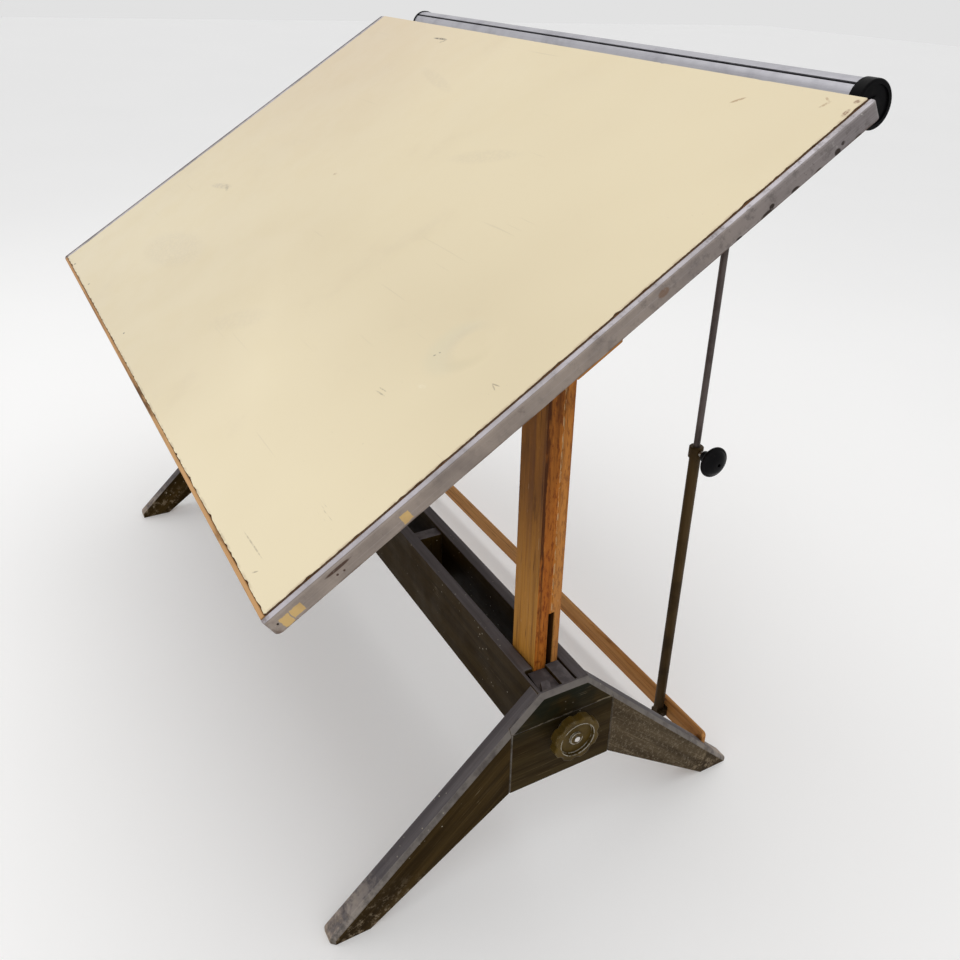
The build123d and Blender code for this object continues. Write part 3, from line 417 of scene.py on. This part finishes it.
def bare_wood(name, along, dark, mid, light, stain=None, blot=(0.50, 0.66)):
    """Bare or oiled wood: long bands, fine pores and an optional dark weathering stain."""
    s = Shader(name, specular=WOOD_SPECULAR)
    straight = s.mapped(turn=along)
    bands = s.stretched((1.6, 34.0, 34.0), straight, detail=4.0, bend=0.5)
    pores = s.stretched((14.0, 620.0, 620.0), straight, detail=2.0)
    streaks = s.stretched((3.2, 150.0, 150.0), straight, detail=4.0, rough=0.6)
    colour = s.mix(s.fade(bands, 0.32, 0.66), mid, light)
    colour = s.paint(colour, s.fade(streaks, 0.45, 0.72), dark, 0.75)
    colour = s.paint(colour, s.fade(pores, 0.60, 0.72), tuple(0.45 * c for c in dark), 0.7)
    if stain:
        blotches = s.stretched((6.0, 30.0, 30.0), straight, detail=6.0, rough=0.7)
        colour = s.paint(colour, s.fade(blotches, *blot), stain, 0.85)
    wear = s.both(s.edges(0.0025), s.fade(s.noise(40.0, detail=5.0), 0.42, 0.6))
    colour = s.paint(colour, wear, dark, 0.5)
    s.bump(streaks, 0.0005, 0.5)
    s.bump(pores, 0.0003, 0.5)
    return s.finish(colour, s.fade(bands, 0.3, 0.7, 0.42, 0.62))


def oiled_oak():
    """The posts' orange-brown oak: darker and streaked on the front, with a painted shadow of the board
    high on the front, stained down one corner.
    """
    s = Shader("oiled_oak", specular=WOOD_SPECULAR)
    straight = s.mapped(turn=ALONG_Z)
    bands = s.stretched((1.4, 38.0, 38.0), straight, detail=5.0, bend=0.5)
    streaks = s.stretched((3.0, 170.0, 170.0), straight, detail=4.0, rough=0.65)
    pores = s.stretched((16.0, 640.0, 640.0), straight, detail=2.0)
    blotches = s.stretched((5.0, 26.0, 26.0), straight, detail=6.0, rough=0.7)
    colour = s.mix(s.fade(bands, 0.34, 0.64), (0.33, 0.095, 0.012), (0.52, 0.190, 0.030))
    forward = s.facing((0, -1, 0), 0.5, 0.8)
    # Painted shadow: the front faces darken towards the top, where the board shades them.
    board_shadow = s.fade(s.part("Z"), 0.72, 0.40)
    front_tone = s.mix(board_shadow, (0.15, 0.050, 0.006), (0.40, 0.190, 0.034))
    banded = s.mix(s.fade(bands, 0.35, 0.6, 0.0, 0.5), front_tone, (0.43, 0.190, 0.026))
    colour = s.paint(colour, forward, banded, 0.9)
    flecks = s.stretched((70.0, 250.0, 250.0), straight, detail=4.0, rough=0.7)
    red_flecks = s.both(s.fade(flecks, 0.50, 0.62), s.math("SUBTRACT", 1.0, forward))
    colour = s.paint(colour, red_flecks, (0.15, 0.030, 0.005), 0.75)
    colour = s.paint(colour, s.fade(flecks, 0.40, 0.30), (0.58, 0.24, 0.05), 0.35)
    colour = s.paint(colour, s.fade(streaks, 0.46, 0.70), (0.10, 0.030, 0.006), 0.5)
    high = s.fade(s.part("Z"), 0.50, 0.80)
    colour = s.paint(colour, s.both(high, s.fade(blotches, 0.36, 0.62)), (0.075, 0.024, 0.006), 0.75)
    depth = s.part("Y")
    uneven = s.math("ADD", depth, s.fade(blotches, 0.3, 0.7, -0.003, 0.003))
    corner = s.band(uneven, -0.0225, -0.0165, 0.002)
    corner = s.both(corner, s.fade(s.side_ways(), 0.5, 0.8), s.fade(blotches, 0.36, 0.52))
    behind = s.both(s.fade(depth, SEAM_Y, SEAM_Y + 0.003), s.fade(s.part("Z"), 0.85, 0.45, 0.35, 1.0))
    colour = s.paint(colour, behind, (0.36, 0.185, 0.070), 0.45)
    # Painted shade: faces set in from the posts' outer face, within the seam band and below about 44 cm,
    # are painted near black.
    outward = s.math("ABSOLUTE", s.part("X"))
    inside = s.both(s.fade(outward, POST_OUTER_X - 0.0012, POST_OUTER_X - 0.0030),
                    s.band(depth, SEAM_Y - 0.0125, SEAM_Y + 0.0125, 0.0008),
                    s.fade(s.part("Z"), 0.4425, 0.4405))
    colour = s.paint(colour, inside, (0.032, 0.010, 0.003), 0.9)
    colour = s.paint(colour, corner, (0.045, 0.013, 0.004), 0.9)
    colour = s.paint(colour, s.fade(blotches, 0.60, 0.72), (0.06, 0.018, 0.005), 0.7)
    seam = s.both(s.band(depth, SEAM_Y - 0.0016, SEAM_Y + 0.0008, 0.0006),
                  s.fade(s.side_ways(), 0.5, 0.8))
    colour = s.paint(colour, s.both(seam, s.fade(flecks, 0.44, 0.56)), (0.66, 0.43, 0.21), 0.6)
    colour = s.paint(colour, s.fade(pores, 0.60, 0.72), (0.035, 0.011, 0.003), 0.7)
    scratches = s.stretched((30.0, 300.0, 300.0), straight, detail=2.0)
    colour = s.paint(colour, s.fade(scratches, 0.72, 0.78), (0.55, 0.40, 0.25), 0.4)
    wear = s.both(s.edges(0.0025), s.fade(blotches, 0.40, 0.55))
    colour = s.paint(colour, wear, (0.07, 0.022, 0.006), 0.6)
    s.bump(streaks, 0.0006, 0.5)
    s.bump(pores, 0.0003, 0.5)
    return s.finish(colour, s.fade(bands, 0.3, 0.7, 0.40, 0.60))


def metal(name, colour, dark, rough, brushed, metallic=1.0, rust=None, rubbed=None, specular=0.5):
    """Metal with drawing lines along it, tarnish in patches, and rust or rubbed edges, which also carry
    painted highlights.
    """
    s = Shader(name, metallic=metallic, specular=specular)
    patches = s.noise(16.0, detail=5.0, rough=0.62)
    lines = s.stretched(brushed, detail=3.0)
    tone = s.mix(s.fade(patches, 0.4, 0.72), colour, dark)
    tone = s.paint(tone, s.fade(lines, 0.45, 0.75), dark, 0.35)
    if rust:
        specks = s.both(s.fade(s.cells(150.0), 0.22, 0.08),
                        s.fade(s.noise(22.0, detail=4.0), 0.52, 0.66))
        tone = s.paint(tone, specks, rust, 0.85)
    # Rubbed edges: worn bright metal, lightened to also stand as painted highlights.
    if rubbed:
        worn = s.both(s.edges(0.0030, 0.01, 0.08),
                      s.fade(s.noise(60.0, detail=5.0, rough=0.7), 0.40, 0.52))
        tone = s.paint(tone, worn, rubbed, 0.85)
    s.bump(lines, 0.0001, 0.4)
    return s.finish(tone, s.fade(patches, 0.3, 0.75, *rough))


def black_plastic(name, shine, specular):
    """Moulded black plastic, faintly dusty, with fine handling scratches."""
    s = Shader(name, roughness=shine, specular=specular)
    dust = s.noise(55.0, detail=6.0, rough=0.7)
    colour = s.mix(s.fade(dust, 0.5, 0.8, 0.0, 0.5), (0.0035, 0.0033, 0.0038), (0.022, 0.020, 0.019))
    s.bump(s.noise(300.0, detail=3.0), 0.0001, 0.3)
    return s.finish(colour, s.fade(dust, 0.35, 0.75, shine, shine + 0.22))


def strip_metal():
    """Grey strip: a lilac-white top lightened as a painted highlight, a painted shade line at its outer
    bead, and a duller brownish side with tape, pits and rust on it.
    """
    s = Shader("grey_strip_metal", metallic=0.25, specular=0.3, board=True)
    across = s.part("X")
    up = s.part("Y")
    off = s.part("Z")
    patches = s.noise(13.0, detail=5.0, rough=0.6)
    lines = s.stretched((700.0, 3.0, 700.0), detail=3.0)
    side = s.mix(s.fade(patches, 0.38, 0.7), (0.290, 0.238, 0.200), (0.205, 0.168, 0.145))
    side = s.paint(side, s.fade(up, -0.1, 0.5), (0.170, 0.154, 0.163), 0.8)
    # Painted highlight: the flat top is lilac-white against the darker side, up to just short of the
    # outer bead.
    top = s.mix(s.fade(patches, 0.35, 0.75), (0.52, 0.49, 0.525), (0.30, 0.275, 0.28))
    flat_top = s.facing(BOARD_UP, 0.5, 0.8)
    outward = s.math("ABSOLUTE", across)
    top_highlight_band = s.both(flat_top, s.fade(outward, HALF_WIDTH + 0.0112, HALF_WIDTH + 0.0100))
    tone = s.mix(top_highlight_band, side, top)
    # Painted shade: a dark line where the flat top turns down over the bead.
    bead_shade_line = s.band(outward, HALF_WIDTH + 0.0104, HALF_WIDTH + 0.0114, 0.0004)
    tone = s.paint(tone, s.both(flat_top, bead_shade_line), PIT, 0.75)
    tone = s.paint(tone, s.fade(lines, 0.5, 0.8), (0.55, 0.53, 0.55), 0.22)
    mottled = s.both(s.fade(s.noise(70.0, detail=6.0, rough=0.75), 0.50, 0.66),
                     s.fade(up, -0.35, 0.35, 0.25, 1.0))
    tone = s.paint(tone, mottled, (0.085, 0.072, 0.066), 0.55)
    chalky = s.both(s.fade(s.noise(52.0, detail=6.0, rough=0.75), 0.58, 0.70), s.fade(up, 0.30, 0.44))
    tone = s.paint(tone, chalky, (0.56, 0.54, 0.50), 0.6)
    near_rear = s.fade(up, 0.12, 0.42, 0.35, 1.0)
    pitted = s.fade(s.noise(19.0, detail=5.0, rough=0.7), 0.54, 0.66)
    pits = s.both(s.fade(s.cells(210.0), 0.20, 0.07), pitted, near_rear)
    tone = s.paint(tone, pits, PIT, 0.9)
    rusty = s.both(s.fade(s.noise(34.0, detail=6.0, rough=0.75), 0.62, 0.72), near_rear)
    tone = s.paint(tone, rusty, RUST, 0.7)
    right = s.fade(across, 0.0, 0.1)
    rough_rim = s.fade(s.noise(120.0, detail=4.0), 0.3, 0.7, -0.0007, 0.0007)
    side_only = s.fade(s.side_ways(), 0.5, 0.8)
    for start, end, low in TAPE_PATCHES:
        tape = s.both(right, side_only, s.band(s.math("ADD", up, rough_rim), start, end, 0.0006),
                      s.band(s.math("ADD", off, rough_rim), low, TAPE_TOP, 0.0006))
        tone = s.paint(tone, tape, s.mix(s.fade(patches, 0.4, 0.6), TAPE, (0.46, 0.30, 0.12)), 0.92)
    crumbly = s.fade(s.noise(190.0, detail=5.0), 0.28, 0.42)
    for place_up, place_off, size, strength, stain in STRIP_STAINS:
        far_up = s.math("DIVIDE", s.math("SUBTRACT", up, place_up), size[0])
        far_off = s.math("DIVIDE", s.math("SUBTRACT", off, place_off), size[1])
        far = s.math("ADD", s.math("POWER", s.math("ABSOLUTE", far_up), 2.0),
                     s.math("POWER", s.math("ABSOLUTE", far_off), 2.0))
        tone = s.paint(tone, s.both(right, s.fade(far, 1.0, 0.4), crumbly), stain, strength)
    low_edge = s.both(s.fade(off, SURFACE_OFF - 0.0195, SURFACE_OFF - 0.022),
                      s.fade(s.noise(45.0, detail=5.0), 0.40, 0.6))
    tone = s.paint(tone, low_edge, (0.09, 0.05, 0.03), 0.7)
    front_corner = s.both(s.fade(up, -0.485, -0.492), s.fade(s.noise(60.0, detail=5.0), 0.36, 0.56))
    tone = s.paint(tone, front_corner, (0.10, 0.058, 0.034), 0.8)
    s.bump(lines, 0.00012, 0.4)
    s.bump(s.noise(80.0, detail=4.0), 0.0004, 0.25)
    return s.finish(tone, s.fade(patches, 0.3, 0.75, 0.36, 0.55))


def lengthwise(angle):
    """Mapping turn that lays the grain in the Y-Z plane, angle above +Y."""
    return (Matrix.Rotation(math.pi / 2, 3, "Z") @ Matrix.Rotation(-angle, 3, "X")).to_euler()


GREY_FIBRE = {"dark": (0.042, 0.028, 0.014), "pale": (0.086, 0.062, 0.035),
              "fibre": (0.20, 0.155, 0.10), "dark_toe": 0.326}
PANEL_PAINT = {"dark": (0.020, 0.0105, 0.0018), "pale": (0.040, 0.026, 0.008),
               "fibre": (0.092, 0.066, 0.028), "fibrous": 0.45, "seam": PANEL_SEAM_Z}
MATERIALS = {
    "laminate": laminate(),
    "beam": painted_wood("painted_wood_beam", ALONG_X, pale=(0.032, 0.019, 0.005),
                         fibre=(0.060, 0.042, 0.018)),
    "panel": painted_wood("painted_wood_panel", ALONG_Y, **PANEL_PAINT),
    "block": painted_wood("painted_wood_block", ALONG_Z),
    "front_leg": painted_wood("painted_wood_front_leg", lengthwise(LEG_SLOPE)),
    "rear_leg": painted_wood("painted_wood_rear_leg", lengthwise(-LEG_SLOPE), **GREY_FIBRE),
    "post": oiled_oak(),
    "batten": bare_wood("oiled_oak_batten", lengthwise(TILT), (0.13, 0.042, 0.008), (0.34, 0.130, 0.026),
                        (0.46, 0.21, 0.05)),
    "bar": bare_wood("stained_bar_wood", ALONG_X, (0.17, 0.060, 0.014), (0.40, 0.165, 0.040),
                     (0.52, 0.265, 0.095), stain=(0.13, 0.040, 0.010), blot=(0.56, 0.74)),
    "core": bare_wood("board_core_wood", ALONG_X, (0.05, 0.021, 0.008), (0.11, 0.050, 0.018),
                      (0.17, 0.085, 0.036)),
    "edging": bare_wood("worn_edging_wood", ALONG_X, (0.16, 0.070, 0.024), (0.42, 0.205, 0.075),
                        (0.58, 0.340, 0.155), stain=(0.06, 0.023, 0.008)),
    "strip": strip_metal(),
    "tube": metal("drawn_aluminium", (0.455, 0.452, 0.490), (0.34, 0.335, 0.370), (0.34, 0.46),
                  metallic=0.55, brushed=(3.0, 500.0, 500.0)),
    "cap": black_plastic("cap_black_plastic", 0.30, 0.04),
    "hardware": metal("plain_steel", (0.50, 0.48, 0.45), (0.24, 0.21, 0.18), (0.32, 0.5),
                      brushed=(300.0, 300.0, 300.0), rust=(0.12, 0.05, 0.02)),
    "bolt": metal("bright_bolt_steel", (0.80, 0.78, 0.76), (0.50, 0.47, 0.45), (0.25, 0.4),
                  brushed=(400.0, 400.0, 400.0)),
    "stay": metal("bronzed_steel", (0.062, 0.037, 0.013), (0.030, 0.018, 0.007), (0.40, 0.58),
                  metallic=0.2, brushed=(500.0, 500.0, 4.0), rust=(0.08, 0.033, 0.012), specular=0.08),
    "rod": metal("dull_rod_steel", (0.098, 0.078, 0.072), (0.040, 0.030, 0.027), (0.36, 0.52),
                 metallic=0.4, brushed=(500.0, 500.0, 4.0), rust=(0.07, 0.03, 0.012), specular=0.25),
    "wheel": metal("aged_bronze_casting", (0.088, 0.055, 0.010), (0.038, 0.023, 0.005), (0.34, 0.52),
                   metallic=0.25, brushed=(60.0, 60.0, 60.0), rubbed=(0.55, 0.52, 0.45), specular=0.09),
    "knob": black_plastic("knob_black_plastic", 0.34, 0.07),
}
FINISH = {
    "front_leg": "front_leg", "rear_leg": "rear_leg",
    "end_panel_lower": "panel", "end_panel_upper": "panel",
    "front_beam": "beam", "rear_beam": "beam", "trough_spacers": "block", "inner_post_guides": "block",
    "front_post_guide": "block", "rear_post_guide": "block", "rear_bar": "bar", "post_front": "post",
    "post_rear": "post", "board_batten": "batten", "board_core": "core", "front_edging": "edging",
    "drawing_surface": "laminate", "edge_strip": "strip", "roll_tube": "tube", "roll_tube_cap": "cap",
    "stay_tube": "stay", "stay_collar": "stay", "stay_sleeve": "stay", "stay_foot_bracket": "stay",
    "stay_foot_pins": "stay", "stay_top_bracket": "stay", "stay_top_pin": "stay", "stay_rod": "rod",
    "hand_wheel": "wheel", "stay_knob": "knob", "clamp_bolt": "bolt",
}


def plain_name(node):
    """A CAD node's name without the side that it is on."""
    return node.removesuffix("_right").removesuffix("_left")


for name, obj in frame["nodes"].items():
    obj.data.materials.clear()
    obj.data.materials.append(MATERIALS[FINISH.get(plain_name(name), "hardware")])


# ---- softened edges on the carried-over wood ----
WELD_DISTANCE = 0.00001
FLAT_WITHIN = math.radians(0.5)
SHARP_FROM = math.radians(30)


def soften(node, width):
    """Round a CAD node's edges a little, as a modifier that leaves its mesh alone."""
    obj = frame["nodes"][node]
    weld = obj.modifiers.new("weld", "WELD")
    weld.merge_threshold = WELD_DISTANCE
    flat = obj.modifiers.new("flat", "DECIMATE")
    flat.decimate_type = "DISSOLVE"
    flat.angle_limit = FLAT_WITHIN
    bevel = obj.modifiers.new("bevel", "BEVEL")
    bevel.width = width
    bevel.segments = 2
    bevel.limit_method = "ANGLE"
    bevel.angle_limit = SHARP_FROM
    bevel.use_clamp_overlap = True


ROUNDED = {
    "front_leg": 0.0016, "rear_leg": 0.0016, "end_panel_lower": 0.0010, "end_panel_upper": 0.0010,
    "front_beam": 0.0022, "rear_beam": 0.0022, "post_front": 0.0014, "post_rear": 0.0014,
    "board_batten": 0.0018, "front_post_guide": 0.0012, "rear_post_guide": 0.0012,
}
for name in frame["nodes"]:
    if plain_name(name) in ROUNDED:
        soften(name, ROUNDED[plain_name(name)])


# ---- the laminate sheet, with its worn and chipped edges ----
def new_piece(name, mesh, material, body):
    """Link a finished mesh into the scene, riding on a body."""
    piece = bpy.data.objects.new(name, mesh)
    piece.data.materials.append(material)
    bpy.context.scene.collection.objects.link(piece)
    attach(piece, body)
    return piece


EDGE_STEP = 0.003
CHIP_DEPTH = (0.0004, 0.0014)


def ragged_edge(length, rng, gap, roughness, chips):
    """Distances along an edge with how far the sheet stops short there."""
    count = int(length / EDGE_STEP)
    inset = [gap + roughness * rng.random() for _ in range(count + 1)]
    for _ in range(chips):
        middle = rng.randrange(count)
        reach = rng.choice((1, 1, 2, 3))
        depth = rng.uniform(*CHIP_DEPTH)
        for index in range(max(0, middle - reach), min(count, middle + reach) + 1):
            inset[index] += depth * (1 - abs(index - middle) / (reach + 1))
    return [(length * index / count, inset[index]) for index in range(count + 1)]


def laminate_sheet():
    """Build the ragged sheet that stands in for the plain drawing surface."""
    rng = random.Random(21)
    low, high = board_extent("drawing_surface")
    width = high.x - low.x
    depth = high.y - low.y
    front = [(low.x + d, low.y + i) for d, i in ragged_edge(width, rng, 0.0003, 0.0006, 60)]
    right = [(high.x - i, low.y + d) for d, i in ragged_edge(depth, rng, 0.0010, 0.0006, 34)]
    rear = [(high.x - d, high.y - i) for d, i in ragged_edge(width, rng, 0.0003, 0.0001, 4)]
    left = [(low.x + i, high.y - d) for d, i in ragged_edge(depth, rng, 0.0010, 0.0006, 30)]
    outline = front[1:-1] + right[1:-1] + rear[1:-1] + left[1:-1]
    sheet = bmesh.new()
    for off in (low.z, high.z):
        for across, up in outline:
            sheet.verts.new(from_board(across, up, off))
    sheet.verts.ensure_lookup_table()
    count = len(outline)
    faces = [sheet.faces.new([sheet.verts[count + index] for index in range(count)])]
    faces.append(sheet.faces.new([sheet.verts[index] for index in reversed(range(count))]))
    for index in range(count):
        after = (index + 1) % count
        sheet.faces.new([sheet.verts[index], sheet.verts[after], sheet.verts[count + after],
                         sheet.verts[count + index]])
    bmesh.ops.triangulate(sheet, faces=faces)
    mesh = bpy.data.meshes.new("laminate_sheet")
    sheet.to_mesh(mesh)
    sheet.free()
    piece = new_piece("laminate_sheet", mesh, MATERIALS["laminate"], "board")
    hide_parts("drawing_surface")


laminate_sheet()


# ---- screws ----
SCREW_RADIUS = 0.0038
SCREW_HEIGHT = 0.0012
SCREW_STEPS = 24


def screw_mesh(name):
    """A low domed screw head without a slot, standing on Z = 0."""
    head = bmesh.new()
    rings = ((1.0, 0.0), (1.0, 0.45), (0.86, 0.85), (0.6, 1.0))
    circles = []
    for out, up in rings:
        radius = out * SCREW_RADIUS
        angles = [2 * math.pi * step / SCREW_STEPS for step in range(SCREW_STEPS)]
        circles.append([head.verts.new((radius * math.cos(a), radius * math.sin(a), up * SCREW_HEIGHT))
                        for a in angles])
    for lower, upper in zip(circles, circles[1:]):
        for step in range(SCREW_STEPS):
            after = (step + 1) % SCREW_STEPS
            head.faces.new((lower[step], lower[after], upper[after], upper[step]))
    head.faces.new(circles[-1])
    head.faces.new(list(reversed(circles[0])))
    mesh = bpy.data.meshes.new(name)
    head.to_mesh(mesh)
    head.free()
    return mesh


def screw(name, place, outward, turn, body):
    """A screw head standing on a surface at place, facing outward."""
    mesh = screw_mesh(name)
    facing = Vector(outward).to_track_quat("Z", "Y") @ Quaternion((0, 0, 1), turn)
    mesh.transform(Matrix.Translation(place) @ facing.to_matrix().to_4x4())
    new_piece(name, mesh, MATERIALS["hardware"], body)


BAR_LOW, BAR_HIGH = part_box("rear_bar")
LEG_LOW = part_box("rear_leg_right")[0]
for side, sign in (("right", 1), ("left", -1)):
    middle_x = sign * (LEG_LOW.x + BAR_HIGH.x) / 2
    for row, share in enumerate((0.3, 0.7)):
        height = BAR_LOW.z + share * (BAR_HIGH.z - BAR_LOW.z)
        screw(f"bar_screw_{side}_{row}", (middle_x, BAR_HIGH.y, height), (0, 1, 0), 0.7 + row, "base")
    plate_low, plate_high = board_extent(f"stay_top_bracket_{side}")
    for row, up in enumerate((plate_low.y + 0.006, plate_high.y - 0.006)):
        for column, share in enumerate((0.22, 0.78)):
            across = plate_low.x + share * (plate_high.x - plate_low.x)
            place = from_board(across, up, plate_high.z - 0.002)
            screw(f"bracket_screw_{side}_{row}_{column}", place, -BOARD_UP, 0.4 * row + column, "board")


# ---- floor, light and camera ----
FLOOR_SIZE = 40.0
FLOOR_TONE = 0.93
FLOOR_GLOW = 0.08
WORLD_STRENGTH = 0.76
# Each light: name, place, what it is aimed at, size, power, colour.
LIGHTS = [
    ("ceiling_softbox", (-0.3, 0.2, 3.4), (0, 0, 0.6), (3.4, 2.6), 26, (1.0, 0.98, 0.95)),
    ("front_softbox", (2.6, -2.6, 2.2), (0.2, 0, 0.5), (2.4, 2.0), 12, (1, 1, 1)),
    ("side_softbox", (-2.8, -1.4, 1.8), (0, 0, 0.6), (2.0, 1.8), 3, (1, 1, 1)),
]


def pale_floor():
    """A plain, very faintly uneven pale floor that glows a little of its own."""
    s = Shader("pale_floor", roughness=0.75)
    colour = (FLOOR_TONE, FLOOR_TONE, FLOOR_TONE)
    shade = s.mix(s.fade(s.noise(0.8, detail=3.0), 0.3, 0.7), colour, tuple(0.985 * c for c in colour))
    s.shader.inputs["Emission Color"].default_value = (1.0, 1.0, 1.0, 1.0)
    s.shader.inputs["Emission Strength"].default_value = FLOOR_GLOW
    return s.finish(shade)


bpy.ops.mesh.primitive_plane_add(size=FLOOR_SIZE, location=(0, 0, 0))
floor = bpy.context.object
floor.name = "studio_floor"
floor.data.materials.append(pale_floor())


def area_light(name, place, aim, size, power, colour):
    data = bpy.data.lights.new(name, "AREA")
    data.shape = "RECTANGLE"
    data.size = size[0]
    data.size_y = size[1]
    data.energy = power
    data.color = colour
    light = bpy.data.objects.new(name, data)
    light.location = place
    light.rotation_mode = "QUATERNION"
    light.rotation_quaternion = (Vector(aim) - Vector(place)).to_track_quat("-Z", "Y")
    bpy.context.scene.collection.objects.link(light)


for light_values in LIGHTS:
    area_light(*light_values)

world = bpy.data.worlds.new("studio_world")
world.use_nodes = True
world.node_tree.nodes["Background"].inputs["Color"].default_value = (1.0, 1.0, 1.0, 1.0)
world.node_tree.nodes["Background"].inputs["Strength"].default_value = WORLD_STRENGTH
bpy.context.scene.world = world

CAMERA_PLACE = Vector((1.570, -0.6325, 1.3025))
CAMERA_LOOK = Vector((-0.74016, 0.46488, -0.48584))
CAMERA_ROLL = math.radians(2.69)
CAMERA_SHIFT = (-0.0499, -0.004)
SENSOR = 36.0
FOCAL = 34.66

camera_data = bpy.data.cameras.new("camera")
camera_data.sensor_width = SENSOR
camera_data.lens = FOCAL
camera_data.shift_x = CAMERA_SHIFT[0]
camera_data.shift_y = CAMERA_SHIFT[1]
camera = bpy.data.objects.new("camera", camera_data)
camera.location = CAMERA_PLACE
camera.rotation_mode = "QUATERNION"
camera.rotation_quaternion = CAMERA_LOOK.to_track_quat("-Z", "Y") @ Quaternion((0, 0, 1), CAMERA_ROLL)
bpy.context.scene.collection.objects.link(camera)
bpy.context.scene.camera = camera
bpy.context.scene.view_settings.view_transform = "Standard"
